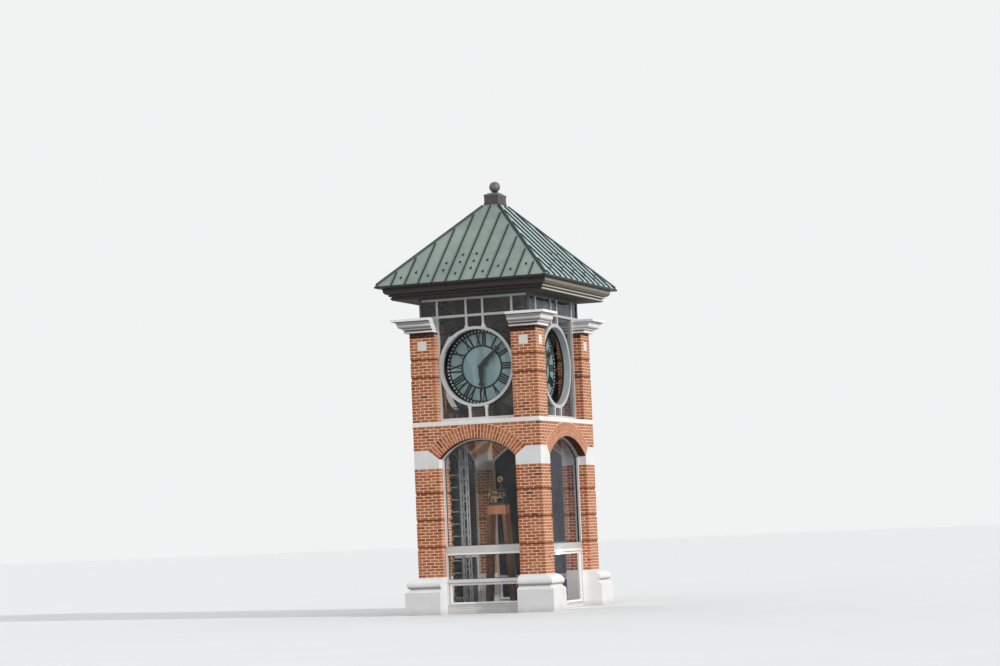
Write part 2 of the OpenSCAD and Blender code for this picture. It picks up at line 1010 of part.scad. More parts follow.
// Opal glass behind the dials, with a hole for the hour sleeve.
module dial_glass() {
  color("#c8cfc6")
    for (i = FACES)
      on_face(i)
        upright(dial_in + dial_t, dial_glass_t)
          translate([0, dial_z])
            difference() {
              circle(dial_glass_r, $fn = 180);
              circle(sleeve_r + sleeve_gap, $fn = 48);
            }
}

// Bars behind the opal glass that carry the bearings of the hands from the rim of each dial.
module dial_bridges() {
  color("#70757a")
    for (i = FACES)
      on_face(i)
        translate([0, 0, dial_z]) {
          difference() {
            union() {
              translate([bridge_end - dial_r, bearing_in, -bridge_h / 2])
                cube([2 * (dial_r - bridge_end), bridge_t, bridge_h]);
              upright(bearing_in, bearing_l)
                circle(bearing_r);
            }
            upright(bearing_in - over, bearing_l + 2 * over)
              circle(bearing_hole, $fn = 48);
          }
          for (s = [-1, 1])
            translate([s * (dial_r + dial_glass_r) / 2 - lug_w / 2, dial_in + dial_t, -bridge_h / 2])
              cube([lug_w, bearing_in - dial_in - dial_t, bridge_h]);
        }
}

// Outline of a hand that points up: hub, tapered blade, two lobes and tip.
module hand_outline(l, lobe_at) {
  circle(hub_r, $fn = 64);
  polygon([
    [-hub_r * 0.7, 0],
    [hub_r * 0.7, 0],
    [hand_half_w, belly_at],
    [waist_half_w, lobe_at],
    [tip_half_w, l],
    [-tip_half_w, l],
    [-waist_half_w, lobe_at],
    [-hand_half_w, belly_at]]);
  for (s = [-1, 1])
    translate([s * lobe_out, lobe_at])
      circle(lobe_r, $fn = 48);
}

module minute_hand(i) {
  arbor_end = bearing_in + bearing_l + 2 * arbor_step;
  color("#1d1f21")
    on_face(i)
      translate([0, 0, dial_z]) {
        upright(hand_in, hand_t)
          rotate(-minute_deg)
            hand_outline(minute_l, minute_lobe_at);
        upright(hand_in - arbor_front, arbor_end - hand_in + arbor_front)
          circle(arbor_r, $fn = 48);
      }
}

module hour_hand(i) {
  y0 = hand_in + hand_t + hand_gap;
  sleeve_l = bearing_in + bearing_l + arbor_step - y0;
  color("#1d1f21")
    on_face(i)
      translate([0, 0, dial_z])
        difference() {
          union() {
            upright(y0, hand_t)
              rotate(-hour_deg)
                hand_outline(hour_l, hour_lobe_at);
            upright(y0, sleeve_l)
              circle(sleeve_r, $fn = 48);
          }
          upright(y0 - over, sleeve_l + 2 * over)
            circle(arbor_r + run_gap, $fn = 48);
        }
}

module minute_hand_front() {
  minute_hand(FRONT);
}

module minute_hand_right() {
  minute_hand(RIGHT);
}

module minute_hand_rear() {
  minute_hand(REAR);
}

module minute_hand_left() {
  minute_hand(LEFT);
}

module hour_hand_front() {
  hour_hand(FRONT);
}

module hour_hand_right() {
  hour_hand(RIGHT);
}

module hour_hand_rear() {
  hour_hand(REAR);
}

module hour_hand_left() {
  hour_hand(LEFT);
}

// Outline of the lantern's box of glass.
lx = hx - reveal;
ly = hy - reveal;

module rail_ring(z, h) {
  difference() {
    translate([-lx, -ly, z])
      cube([2 * lx, 2 * ly, h]);
    translate([frame_d - lx, frame_d - ly, z - over])
      cube([2 * (lx - frame_d), 2 * (ly - frame_d), h + 2 * over]);
  }
}

// Places of the bars between the glass of the lantern's rails.
function lantern_bars(i) = [
  lantern_bar_in - half_of(i), -pair_x, pair_x, half_of(i) - lantern_bar_in];

module lantern_frame() {
  color(METAL) {
    rail_ring(lantern_z, base_rail_h);
    rail_ring(head_z, head_rail_h);
    for (sx = [-1, 1])
      for (sy = [-1, 1])
        translate([sx * (lx - post_w / 2), sy * (ly - post_w / 2), lantern_glass_z + lantern_glass_h / 2])
          cube([post_w, post_w, lantern_glass_h + 2], center = true);
    for (i = FACES)
      on_face(i)
        for (x = lantern_bars(i))
          translate([x - frame_w / 2, reveal, lantern_glass_z - over])
            cube([frame_w, frame_d / 2, lantern_glass_h + 2 * over]);
  }
}

module lantern_glass() {
  color("lightblue", 0.4)
    for (i = FACES)
      on_face(i)
        difference() {
          translate([post_w - (even(i) ? lx : ly), reveal + (frame_d / 2 - glass_t) / 2, lantern_glass_z])
            cube([2 * ((even(i) ? lx : ly) - post_w), glass_t, lantern_glass_h]);
          for (x = lantern_bars(i))
            translate([x - frame_w / 2, 0, lantern_glass_z - over])
              cube([frame_w, reveal + frame_d, lantern_glass_h + 2 * over]);
        }
}

module soffit() {
  color("#4a463f")
    translate([-hx - eaves_foot_out, -hy - eaves_foot_out, soffit_z])
      cube([front_w + 2 * eaves_foot_out, side_w + 2 * eaves_foot_out, soffit_t]);
}

// A bead seen from its end: a half round with its foot at z.
function bead(out, h, z) = [for (a = [0 : 30 : 180]) [out - h / 3 * (1 - sin(a)), z + h / 2 * (1 - cos(a))]];

eaves_groove_z = eaves_z + foot_bead_h;
gutter_bead_z = eaves_groove_z + eaves_groove_h;
gutter_z = gutter_bead_z + gutter_bead_h;

function eaves_outs() = concat(
  bead(foot_bead_out, foot_bead_h, eaves_z),
  [[eaves_groove_out, eaves_groove_z + eaves_groove_h / 6], [eaves_groove_out, gutter_bead_z - over]],
  bead(gutter_bead_out, gutter_bead_h, gutter_bead_z),
  [for (a = [0 : 15 : 90]) [
    gutter_bead_out + (gutter_out - gutter_bead_out) * sin(a),
    gutter_z + over + gutter_curve_h * (1 - cos(a))]],
  [[gutter_out, eaves_z + eaves_h]]);

module eaves_box() {
  color(BRONZE)
    difference() {
      round_moulding(eaves_outs());
      translate([-hx - eaves_inner, -hy - eaves_inner, eaves_z - 1])
        cube([front_w + 2 * eaves_inner, side_w + 2 * eaves_inner, eaves_h + 2]);
    }
}

// Outer form of the roof from its edge to the foot of the vent box.
module roof_form(z0) {
  hull() {
    translate([-rx, -ry, z0])
      cube([2 * rx, 2 * ry, roof_edge_h]);
    translate([-vent_w / 2, -vent_l / 2, z0 + roof_edge_h + roof_rise - 1])
      cube([vent_w, vent_l, 1]);
  }
}

module roof_deck() {
  color(GREEN)
    difference() {
      roof_form(roof_z);
      intersection() {
        roof_form(roof_z - roof_t);
        translate([-rx, -ry, roof_z + edge_board_t])
          cube([2 * rx, 2 * ry, roof_rise + roof_t]);
      }
      translate([-hx - eaves_inner, -hy - eaves_inner, roof_z - 1])
        cube([front_w + 2 * eaves_inner, side_w + 2 * eaves_inner, edge_board_t + 2]);
    }
}

// Length and angle of a slope whose plan run is given.
function slope_l(run) = sqrt(run * run + roof_rise * roof_rise);
function slope_a(run) = atan2(roof_rise, run);

// Standing seams of one slope: e is half its edge, t half its top, step the distance of the seams.
module slope_seams(e, t, run, step) {
  l = slope_l(run);
  n = floor((e - hip_w) / step);
  inset = 1.9 * hip_w;
  intersection() {
    for (k = [-n : n])
      translate([k * step - seam_t / 2, 0, 0])
        cube([seam_t, l, seam_h]);
    linear_extrude(height = seam_h)
      polygon([[inset - e, 0], [e - inset, 0], [t - inset / 2, l - hip_w], [inset / 2 - t, l - hip_w]]);
  }
}

module roof_seams() {
  color(GREEN)
    for (i = FACES) {
      e = even(i) ? rx : ry;
      t = even(i) ? vent_w / 2 : vent_l / 2;
      edge = even(i) ? ry : rx;
      run = edge - (even(i) ? vent_l / 2 : vent_w / 2);
      rotate([0, 0, 90 * i])
        translate([0, -edge, slope_z])
          rotate([slope_a(run), 0, 0])
            slope_seams(e, t, run, even(i) ? seam_x : seam_y);
    }
}

// Plan run of a hip and the place of its line at a plan distance from the roof's corner.
hip_x = rx - vent_w / 2;
hip_y = ry - vent_l / 2;
hip_run = sqrt(hip_x * hip_x + hip_y * hip_y);

module hip_end(along) {
  translate([
    rx - along * hip_x / hip_run,
    ry - along * hip_y / hip_run,
    slope_z + along * roof_rise / hip_run - hip_sink])
    rotate([0, 0, atan2(hip_y, hip_x)])
      cylinder(r1 = hip_w, r2 = hip_w * 0.5, h = hip_sink + hip_h, $fn = 4);
}

module hip_caps() {
  color(GREEN)
    difference() {
      four_corners()
        hull() {
          hip_end(1.4 * hip_w);
          hip_end(hip_run - hip_w);
        }
      roof_form(roof_z);
      translate([-vent_w / 2 - hip_h, -vent_l / 2 - hip_h, vent_z - hip_h])
        cube([vent_w + 2 * hip_h, vent_l + 2 * hip_h, vent_h]);
    }
}

module vent_box() {
  color("#6a4a3a")
    difference() {
      union() {
        translate([-vent_w / 2, -vent_l / 2, vent_z])
          cube([vent_w, vent_l, vent_h]);
        translate([-vent_w / 2 - collar_out, -vent_l / 2 - collar_out, vent_z])
          cube([vent_w + 2 * collar_out, vent_l + 2 * collar_out, collar_h]);
      }
      translate([vent_wall - vent_w / 2, vent_wall - vent_l / 2, vent_z - 1])
        cube([vent_w - 2 * vent_wall, vent_l - 2 * vent_wall, vent_h + 2]);
    }
}

module vent_lid() {
  color(GREEN)
    hull() {
      translate([-vent_w / 2 - lid_out, -vent_l / 2 - lid_out, lid_z])
        cube([vent_w + 2 * lid_out, vent_l + 2 * lid_out, lid_edge_h]);
      translate([-lid_flat / 2, -lid_flat / 2, lid_z + lid_edge_h + lid_rise - over])
        cube([lid_flat, lid_flat, over]);
    }
}

module ball() {
  color("#8c8f92") {
    translate([0, 0, ball_z])
      sphere(ball_r, $fn = 64);
    translate([0, 0, lid_z + lid_edge_h + lid_rise])
      cylinder(r = neck_r, h = neck_h + ball_r);
  }
}

module floor_slab() {
  color("#9a9a96")
    difference() {
      translate([reveal + frame_d - hx, reveal + frame_d - hy, 0])
        cube([2 * (hx - reveal - frame_d), 2 * (hy - reveal - frame_d), floor_t]);
      four_corners()
        pier_block(-1, floor_t + 1);
    }
}

// Leg frame of the stand seen from the front: splayed legs, a low rail and the beam on top.
module stand_frame_outline() {
  w = stand_w / 2;
  beam_z = stand_top - beam_h;
  rail_half = w + leg_splay * (1 - rail_up / (beam_z - floor_t)) - leg_w / 2;
  for (s = [-1, 1])
    polygon([
      [s * (w + leg_splay), floor_t],
      [s * (w + leg_splay - leg_w), floor_t],
      [s * (w - leg_w), beam_z + over],
      [s * w, beam_z + over]]);
  translate([-rail_half, floor_t + rail_up])
    square([2 * rail_half, leg_w]);
  translate([-w, beam_z])
    square([stand_w, beam_h]);
}

module at_stand() {
  translate([-stand_x, -stand_y, 0])
    children();
}

module movement_stand() {
  gap_l = stand_l - 2 * timber_t;
  rail_x = stand_w / 2 + leg_splay * (1 - rail_up / (stand_h - beam_h)) - leg_w;
  color("#7a4a2c")
    at_stand() {
      for (y = [-stand_l / 2, stand_l / 2 - timber_t])
        upright(y, timber_t)
          stand_frame_outline();
      for (s = [-1, 1]) {
        translate([s * (stand_w - timber_t) / 2 - timber_t / 2, -gap_l / 2 - over, stand_top - beam_h])
          cube([timber_t, gap_l + 2 * over, beam_h]);
        translate([s * rail_x - timber_t / 2, -gap_l / 2 - over, floor_t + rail_up])
          cube([timber_t, gap_l + 2 * over, leg_w]);
      }
    }
}

// Places of the wheel arbors along the movement, worked out from the wheels between them.
train_x = [
  -great_r - pinion_r - mesh_gap,
  0,
  second_r + pinion_r + mesh_gap];
plate_in = stand_l / 2 - timber_t;
plate_foot = stand_w / 2 - timber_t / 2;
plate_head = plate_foot * 0.72;
bar_z = plate_h - plate_rim / 2;
fly_x = plate_head - plate_rim / 2;

// Cast plate of the movement seen from the front, with a bar that carries the arbors.
module plate_outline(fly) {
  inner = plate_rim * 1.1;
  difference() {
    union() {
      difference() {
        polygon([[-plate_foot, 0], [plate_foot, 0], [plate_head, plate_h], [-plate_head, plate_h]]);
        polygon([
          [-plate_foot + inner, plate_rim],
          [plate_foot - inner, plate_rim],
          [plate_head - inner, plate_h - plate_rim],
          [-plate_head + inner, plate_h - plate_rim]]);
      }
      translate([-plate_foot + inner, train_up - plate_rim / 2])
        square([2 * (plate_foot - inner), plate_rim]);
      if (fly) {
        translate([fly_x - plate_rim / 2, plate_h - over])
          square([plate_rim, fly_up - plate_h]);
        translate([fly_x, fly_up])
          circle(plate_rim * 0.8, $fn = 48);
      }
    }
    for (x = train_x)
      translate([x, train_up])
        circle(wheel_arbor_r + run_gap, $fn = 32);
    if (fly)
      translate([fly_x, fly_up])
        circle(wheel_arbor_r + run_gap, $fn = 32);
  }
}

// Iron bed on the stand, with a plate at the front and one at the rear.
module movement_frame() {
  color("#3a4038")
    at_stand()
      translate([0, 0, stand_top]) {
        difference() {
          translate([-stand_w / 2, -stand_l / 2, 0])
            cube([stand_w, stand_l, bed_h]);
          translate([timber_t - stand_w / 2, timber_t + plate_t - stand_l / 2, -over])
            cube([stand_w - 2 * timber_t, stand_l - 2 * timber_t - 2 * plate_t, bed_h + 2 * over]);
        }
        translate([0, 0, bed_h]) {
          upright(-plate_in - plate_t, plate_t)
            plate_outline(true);
          upright(plate_in, plate_t)
            plate_outline(false);
          for (s = [-1, 1])
            translate([s * (plate_head - plate_rim / 2) - plate_t / 2, -plate_in - over, bar_z])
              cube([plate_t, 2 * plate_in + 2 * over, plate_rim / 2]);
        }
      }
}

// Toothed wheel with spokes, as a flat outline: r is the radius over the teeth.
module wheel_outline(r, teeth) {
  tooth = r * 0.07;
  rim = r * 0.16;
  hub = r * 0.24;
  step = 360 / teeth;
  difference() {
    polygon([for (k = [0 : teeth - 1]) for (p = [[0, 0], [0.15, 1], [0.4, 1], [0.55, 0]])
      (r - tooth + p[1] * tooth) * [cos((k + p[0]) * step), sin((k + p[0]) * step)]]);
    difference() {
      circle(r - tooth - rim, $fn = 48);
      circle(hub, $fn = 32);
      for (a = [0 : 72 : 359])
        rotate(a)
          translate([0, -rim / 2])
            square([r, rim]);
    }
  }
}

// Wheels and rope drum between the plates, each arbor with what is fixed on it, and the fly.
module movement_train() {
  bays = plate_in / 3;
  arbor_l = 2 * (plate_in + plate_t);
  color("#b08a4a")
    at_stand()
      translate([0, 0, bed_top]) {
        for (x = train_x)
          translate([x, 0, train_up])
            upright(-arbor_l / 2, arbor_l)
              circle(wheel_arbor_r, $fn = 32);
        translate([train_x[0], 0, train_up]) {
          upright(-wheel_t / 2, wheel_t)
            wheel_outline(great_r, 72);
          upright(wheel_t / 2 - over, plate_in - wheel_t)
            circle(rope_r, $fn = 64);
        }
        translate([train_x[1], 0, train_up]) {
          upright(-wheel_t, 2 * wheel_t)
            circle(pinion_r, $fn = 32);
          upright(-2 * bays - wheel_t / 2, wheel_t)
            wheel_outline(second_r, 60);
        }
        translate([train_x[2], 0, train_up]) {
          upright(-2 * bays - wheel_t, 2 * wheel_t)
            circle(pinion_r, $fn = 32);
          upright(-bays - wheel_t / 2, wheel_t)
            wheel_outline(third_r, 48);
        }
        translate([fly_x, 0, fly_up]) {
          upright(-plate_in - plate_t - 3 * wheel_t, 3 * wheel_t + 2 * plate_t)
            circle(wheel_arbor_r, $fn = 32);
          upright(-plate_in - plate_t - 2 * wheel_t, wheel_t)
            wheel_outline(fly_r, 48);
        }
      }
}

module ladder() {
  color("#c9ccc8")
    translate([-ladder_x, -ladder_y, floor_t]) {
      for (s = [-1, 1])
        translate([s * (ladder_w - ladder_rail_w) / 2 - ladder_rail_w / 2, -ladder_rail_d / 2, 0])
          cube([ladder_rail_w, ladder_rail_d, ladder_h]);
      for (z = [rung_step : rung_step : ladder_h - rung_step / 2])
        translate([-ladder_w / 2 + ladder_rail_w / 2, 0, z])
          rotate([0, 90, 0])
            cylinder(r = rung_r, h = ladder_w - ladder_rail_w, $fn = 12);
    }
}

// One side of the lattice mast as a flat outline: zigzag bars and a rail at each end.
module lattice_outline() {
  reach = mast_w / 2 - mast_tube / 2;
  for (k = [0 : mast_bays - 1]) {
    side = even(k) ? 1 : -1;
    polygon([
      [-side * reach, k * mast_bay_h],
      [-side * reach, k * mast_bay_h + lattice_w],
      [side * reach, (k + 1) * mast_bay_h + lattice_w],
      [side * reach, (k + 1) * mast_bay_h]]);
  }
}

module lattice_mast() {
  color("#b9c0c2")
    translate([-mast_x, -ladder_y, floor_t]) {
      for (sx = [-1, 1])
        for (sy = [-1, 1])
          translate([sx * (mast_w - mast_tube) / 2, sy * (mast_w - mast_tube) / 2, 0])
            translate([-mast_tube / 2, -mast_tube / 2, 0])
              cube([mast_tube, mast_tube, mast_bays * mast_bay_h + lattice_w]);
      for (a = [0 : 90 : 359])
        rotate([0, 0, a])
          upright(-mast_w / 2 + mast_tube / 2 - lattice_w / 2, lattice_w)
            lattice_outline();
    }
}

plinths();
lower_piers();
imposts();
arches();
spandrels();
belt_course();
upper_piers();
inset_stones();
pier_caps();
lower_frame_front();
lower_frame_right();
lower_frame_rear();
lower_frame_left();
lower_glass();
upper_frame_front();
upper_frame_right();
upper_frame_rear();
upper_frame_left();
upper_glass();
side_glass();
drum_front();
drum_right();
drum_rear();
drum_left();
dial_front();
dial_right();
dial_rear();
dial_left();
dial_glass();
dial_bridges();
minute_hand_front();
minute_hand_right();
minute_hand_rear();
minute_hand_left();
hour_hand_front();
hour_hand_right();
hour_hand_rear();
hour_hand_left();
lantern_frame();
lantern_glass();
soffit();
eaves_box();
roof_deck();
roof_seams();
hip_caps();
vent_box();
vent_lid();
ball();
floor_slab();
movement_stand();
movement_frame();
movement_train();
ladder();
lattice_mast();
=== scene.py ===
"""Looks of a brick clock tower with glazed openings, skeleton dials and a hipped metal roof."""
import math
import random
import bpy
from mathutils import Matrix, Vector


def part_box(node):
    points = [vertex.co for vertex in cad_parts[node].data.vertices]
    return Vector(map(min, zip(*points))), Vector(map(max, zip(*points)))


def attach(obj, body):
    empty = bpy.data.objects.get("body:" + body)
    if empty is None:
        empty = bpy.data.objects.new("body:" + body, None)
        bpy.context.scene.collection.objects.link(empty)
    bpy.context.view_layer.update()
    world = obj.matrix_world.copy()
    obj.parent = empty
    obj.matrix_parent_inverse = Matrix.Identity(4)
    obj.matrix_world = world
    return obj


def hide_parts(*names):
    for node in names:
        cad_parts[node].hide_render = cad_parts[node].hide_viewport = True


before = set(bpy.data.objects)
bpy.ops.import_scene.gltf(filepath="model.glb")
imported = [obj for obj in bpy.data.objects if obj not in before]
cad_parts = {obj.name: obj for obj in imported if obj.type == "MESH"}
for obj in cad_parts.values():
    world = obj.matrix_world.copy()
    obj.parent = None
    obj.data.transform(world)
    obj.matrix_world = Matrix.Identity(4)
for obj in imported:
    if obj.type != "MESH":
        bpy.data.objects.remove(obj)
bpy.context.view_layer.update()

TOWER = "tower"
FACES = ("front", "right", "rear", "left")
CORNERS = ((-1, -1), (-1, 1), (1, -1), (1, 1))


# Sizes, in metres, read from the frame where a node gives them.
def top(node):
    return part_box(node)[1][2]


def foot(node):
    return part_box(node)[0][2]


HALF_X, HALF_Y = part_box("upper_piers")[1][:2]
OPEN_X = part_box("lower_frame_front")[1][0]
OPEN_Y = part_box("lower_frame_right")[1][1]
PIER = HALF_X - OPEN_X
WALL = 0.305
PLINTH_TOP = top("plinths")
NECK_Z = 0.606
PIER_TOP = top("lower_piers")
IMPOST_TOP = top("imposts")
BELT_Z = foot("belt_course")
UPPER_Z = top("belt_course")
CAP_Z = foot("pier_caps")
LANTERN_Z = top("pier_caps")
INSET_Z = foot("inset_stones")
INSET = top("inset_stones") - INSET_Z

# Brickwork. Pairs are for the front and rear first, then for the sides. Mortar lies SUNK behind the bricks and stops
# GAP short of what it meets; STAGGER keeps the faces of crossing walls apart.
LOWER_COURSES = 36
UPPER_COURSES = 30
SPANDREL_COURSES = 8
LOWER_RECESSED = (10, 19, 28)
UPPER_RECESSED = (15, 21)
RECESS = 0.012
COURSE = (PIER_TOP - PLINTH_TOP) / LOWER_COURSES
PIER_BRICKS = 3
WALL_BRICKS = (15, 18)
BRICK_DEEP = 0.092
CLOSER_DEEP = 0.05
JOINT = 0.0108
HEAD_JOINT = 0.0150
ARCH_JOINT = 0.005
INSET_JOINT = 0.004
SUNK = 0.0012
STAGGER = 0.0004
GAP = 0.002
WORN_EDGE = 0.003
SLIVER = 0.02
LEAST_FACE = 0.0006
SAME_POINT = 0.0015
SKEW_REACH, SKEW_SLACK = 0.12, 0.01
SPANDREL_STEPS = 40
TONE, TONE_SPREAD = 0.5, 0.24

# Arches. The lower voussoir of each pair and its front part are long and short in turn.
SPRING_Z = PIER_TOP + 0.2
RISE = 0.438
RING_DEEP = 0.315
VOUSSOIRS = (0.203, 0.102)
VOUSSOIRS_IN = (0.2, 0.1)
ARCH_STEPS = 48

# Frames. Heights are of the panes of each lower window; the topmost runs into the arch.
REVEAL = HALF_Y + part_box("upper_frame_front")[0][1]
FRAME_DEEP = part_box("upper_frame_front")[1][1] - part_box("upper_frame_front")[0][1]
FRAME_MIDDLE = REVEAL + FRAME_DEEP / 2
FRAME_FACE = 0.05
FRONT_PANES = ((0.199, 0.686), (0.766, 1.309), (1.509, None))
SIDE_PANES = ((0.109, 1.283), (1.483, None))
PANES = {"front": FRONT_PANES, "rear": FRONT_PANES, "right": SIDE_PANES, "left": SIDE_PANES}
ROOT = REVEAL + 0.002
GASKET_FACE = 0.009
GASKET_HALF = 0.018
BEAD_IN = 0.006
BEAD_FACE = 0.014
SASH_IN = 0.022
SASH_FACE = 0.046
HEAD_IN, HEAD_FACE, HEAD_PROUD = 0.012, 0.013, 0.003
BOARD_BELOW = 0.036
BOARD_PROUD, BOARD_STEP, BOARD_EDGE = 0.014, 0.003, 0.004
BOARD_GAP = 0.007
BOARD_CLEAR = 0.004

# Dials and drums.
DIAL_Z = (top("dial_front") + foot("dial_front")) / 2
DIAL_IN = HALF_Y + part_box("dial_front")[0][1]
DRUM_REAR = HALF_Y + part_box("drum_front")[0][1] + 0.195
DRUM_WALL = (0.062, 0.080)
DRUM_STEPS = 128
LINER_FACE, LINER_BACK = 0.0035, 0.0005
LINER_DEEP, LINER_CLEAR = 0.052, 0.001
MINUTES = 60
MINUTE_IN = 0.099
MINUTE_HALF = 0.021
MINUTE_DEEP = (0.0015, 0.010)

# Roof.
ROOF_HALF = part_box("roof_deck")[1][:2]
ROOF_EDGE_Z = foot("roof_deck") + 0.031
VENT_HALF = (0.170, 0.268)
SEAM_STEP = (0.330, 0.380)
SEAM_T = 0.012
SEAM_FOOT = 0.03
# Width and thickness of the strips of painted shade beside the seams.
SHADE_STRIP_W, SHADE_STRIP_T = 0.009, 0.003
TAIL, TAIL_T = 0.030, 0.004
HIP_W = 0.052
HIP_CLEAR = 1.9 * HIP_W
HIP_TAPER, HIP_ROOM = 0.72, 0.12
# Snow stops: how far up the two full rows lie, and the short rows with the pans they reach to either side.
GUARD_RUNS = (0.41, 0.25)
GUARD_SHORT = ((0.68, 2), (0.96, 1))
STRIP_W, STRIP_H, STRIP_T, STRIP_LAP = 0.028, 0.095, 0.004, 0.01
# Points along a snow stop's paddle: the way across, the way up the slope and the paddle's height there.
PADDLE = ((-0.027, 0.004, 0.020), (-0.016, -0.002, 0.032), (0.0, -0.005, 0.038), (0.016, -0.002, 0.032),
          (0.027, 0.004, 0.020))
PADDLE_T = 0.005

# Camera. Angles in radians, the focal length and the width in pixels of the picture, and the sensor in mm.
YAW, PITCH, ROLL = 0.3621, 0.0781, -0.0419
CAMERA_AT = (20.7515, -54.8277, 1.7802)
FOCAL, WIDTH, SENSOR = 2545.4, 1000, 36


def place_camera():
    ahead = Vector((-math.sin(YAW) * math.cos(PITCH), math.cos(YAW) * math.cos(PITCH), math.sin(PITCH)))
    level = Vector((math.cos(YAW), math.sin(YAW), 0))
    upright = level.cross(ahead)
    right = math.cos(ROLL) * level + math.sin(ROLL) * upright
    up = -math.sin(ROLL) * level + math.cos(ROLL) * upright
    data = bpy.data.cameras.new("street_view")
    data.sensor_width = SENSOR
    data.lens = FOCAL * SENSOR / WIDTH
    data.clip_end = 500
    camera = bpy.data.objects.new("street_view", data)
    turn = Matrix((right, up, -ahead)).transposed().to_4x4()
    camera.matrix_world = Matrix.Translation(CAMERA_AT) @ turn
    bpy.context.scene.collection.objects.link(camera)
    bpy.context.scene.camera = camera


place_camera()


# Shader maths.
def paint(red, green, blue):
    """A colour given as it looks on screen, from 0 to 255, as the shader's own numbers."""
    def line(c):
        c /= 255
        return c / 12.92 if c <= 0.04045 else ((c + 0.055) / 1.055) ** 2.4
    return (line(red), line(green), line(blue), 1.0)


class Value:
    """A socket that adds, takes away, multiplies and divides as a number does."""

    def __init__(self, finish, socket):
        self.finish = finish
        self.socket = socket

    def _maths(self, operation, first, second):
        return self.finish.node("Math", {"operation": operation}, {0: first, 1: second})

    def __add__(self, other):
        return self._maths("ADD", self, other)

    def __radd__(self, other):
        return self._maths("ADD", other, self)

    def __sub__(self, other):
        return self._maths("SUBTRACT", self, other)

    def __rsub__(self, other):
        return self._maths("SUBTRACT", other, self)

    def __mul__(self, other):
        return self._maths("MULTIPLY", self, other)

    def __truediv__(self, other):
        return self._maths("DIVIDE", self, other)


class Finish:
    """A material built round one Principled shader."""

    def __init__(self, name, **sockets):
        self.material = bpy.data.materials.new(name)
        self.material.use_nodes = True
        self.tree = self.material.node_tree
        self.shader = self.tree.nodes["Principled BSDF"]
        for key, value in sockets.items():
            self.set(key.replace("_", " "), value)

    def set(self, socket, value):
        self._feed(self.shader.inputs[socket], value)

    def _feed(self, socket, value):
        if isinstance(value, Value):
            self.tree.links.new(value.socket, socket)
        else:
            socket.default_value = value

    def node(self, kind, settings=None, sockets=None, out=0):
        made = self.tree.nodes.new("ShaderNode" + kind)
        for key, value in (settings or {}).items():
            if key == "stops":
                elements = made.color_ramp.elements
                while len(elements) < len(value):
                    elements.new(0.5)
                for element, (place, colour) in zip(elements, value):
                    element.position = place
                    element.color = colour
            else:
                setattr(made, key, value)
        for key, value in (sockets or {}).items():
            self._feed(made.inputs[key], value)
        return Value(self, made.outputs[out])

    def part(self, vector, axis):
        return self.node("SeparateXYZ", sockets={0: vector}, out=axis)

    def place(self):
        """Where a point is on the tower, in metres."""
        return self.node("TexCoord", out="Object")

    def across(self):
        return self.part(self.place(), 0)

    def depth(self):
        return self.part(self.place(), 1)

    def height(self):
        return self.part(self.place(), 2)

    def facing(self, axis):
        """How far the surface turns towards x, y or z, from -1 to 1."""
        return self.part(self.node("TexCoord", out="Normal"), axis)

    def size(self, value):
        return self.node("Math", {"operation": "ABSOLUTE"}, {0: value})

    def larger(self, first, second):
        return self.node("Math", {"operation": "MAXIMUM"}, {0: first, 1: second})

    def vector(self, operation, first, second=(0.0, 0.0, 0.0), out=0):
        return self.node("VectorMath", {"operation": operation}, {0: first, 1: second}, out)

    def share(self, low, high):
        """0 at height low and 1 at height high."""
        return (self.height() - low) / (high - low)

    def grain(self, scale, detail=3.0, rough=0.55, stretch=None):
        where = self.vector("MULTIPLY", self.place(), stretch) if stretch else self.place()
        return self.node("TexNoise", sockets={"Vector": where, "Scale": scale, "Detail": detail, "Roughness": rough})

    def band(self, value, low, high):
        """0 below low, 1 above high and a smooth rise between."""
        return self.node("MapRange", {"interpolation_type": "SMOOTHSTEP"},
                         {0: value, 1: low, 2: high, 3: 0.0, 4: 1.0})

    def mix(self, share, first, second):
        return self.node("Mix", {"data_type": "RGBA"}, {0: share, 6: first, 7: second}, out=2)

    def stain(self, body, colour, amount, value, low, high):
        """Body with more of a colour, up to amount, as value rises from low to high."""
        return self.mix(self.band(value, low, high) * amount, body, colour)

    def ramp(self, value, stops):
        return self.node("ValToRGB", {"stops": stops}, {0: value})

    def relief(self, height, distance, strength=1.0):
        self.set("Normal", self.node("Bump", sockets={"Height": height, "Distance": distance, "Strength": strength}))


# Finishes.
def brick_painted_shade(f, body):
    """Painted shade: a dark line over each recessed course, dark courses under the caps, and dark under faces."""
    for base, courses in ((PLINTH_TOP, LOWER_RECESSED), (UPPER_Z, UPPER_RECESSED)):
        for course in courses:
            away = f.size(f.height() - (base + course * COURSE - 0.004))
            body = f.mix((1 - f.band(away, 0.011, 0.018)) * 0.84, body, paint(80, 36, 26))
    front = f.band(0 - f.facing(1), 0.3, 0.7)
    second = f.band(f.height(), CAP_Z - 1.95 * COURSE, CAP_Z - 1.70 * COURSE) * front
    first = f.band(f.height(), CAP_Z - 1.05 * COURSE, CAP_Z - 0.80 * COURSE)
    body = f.stain(body, paint(54, 35, 28), 0.92, 0 - f.facing(2), 0.3, 0.7)
    return f.mix(f.larger(second * 0.90, first * 0.84), body, paint(52, 32, 27))


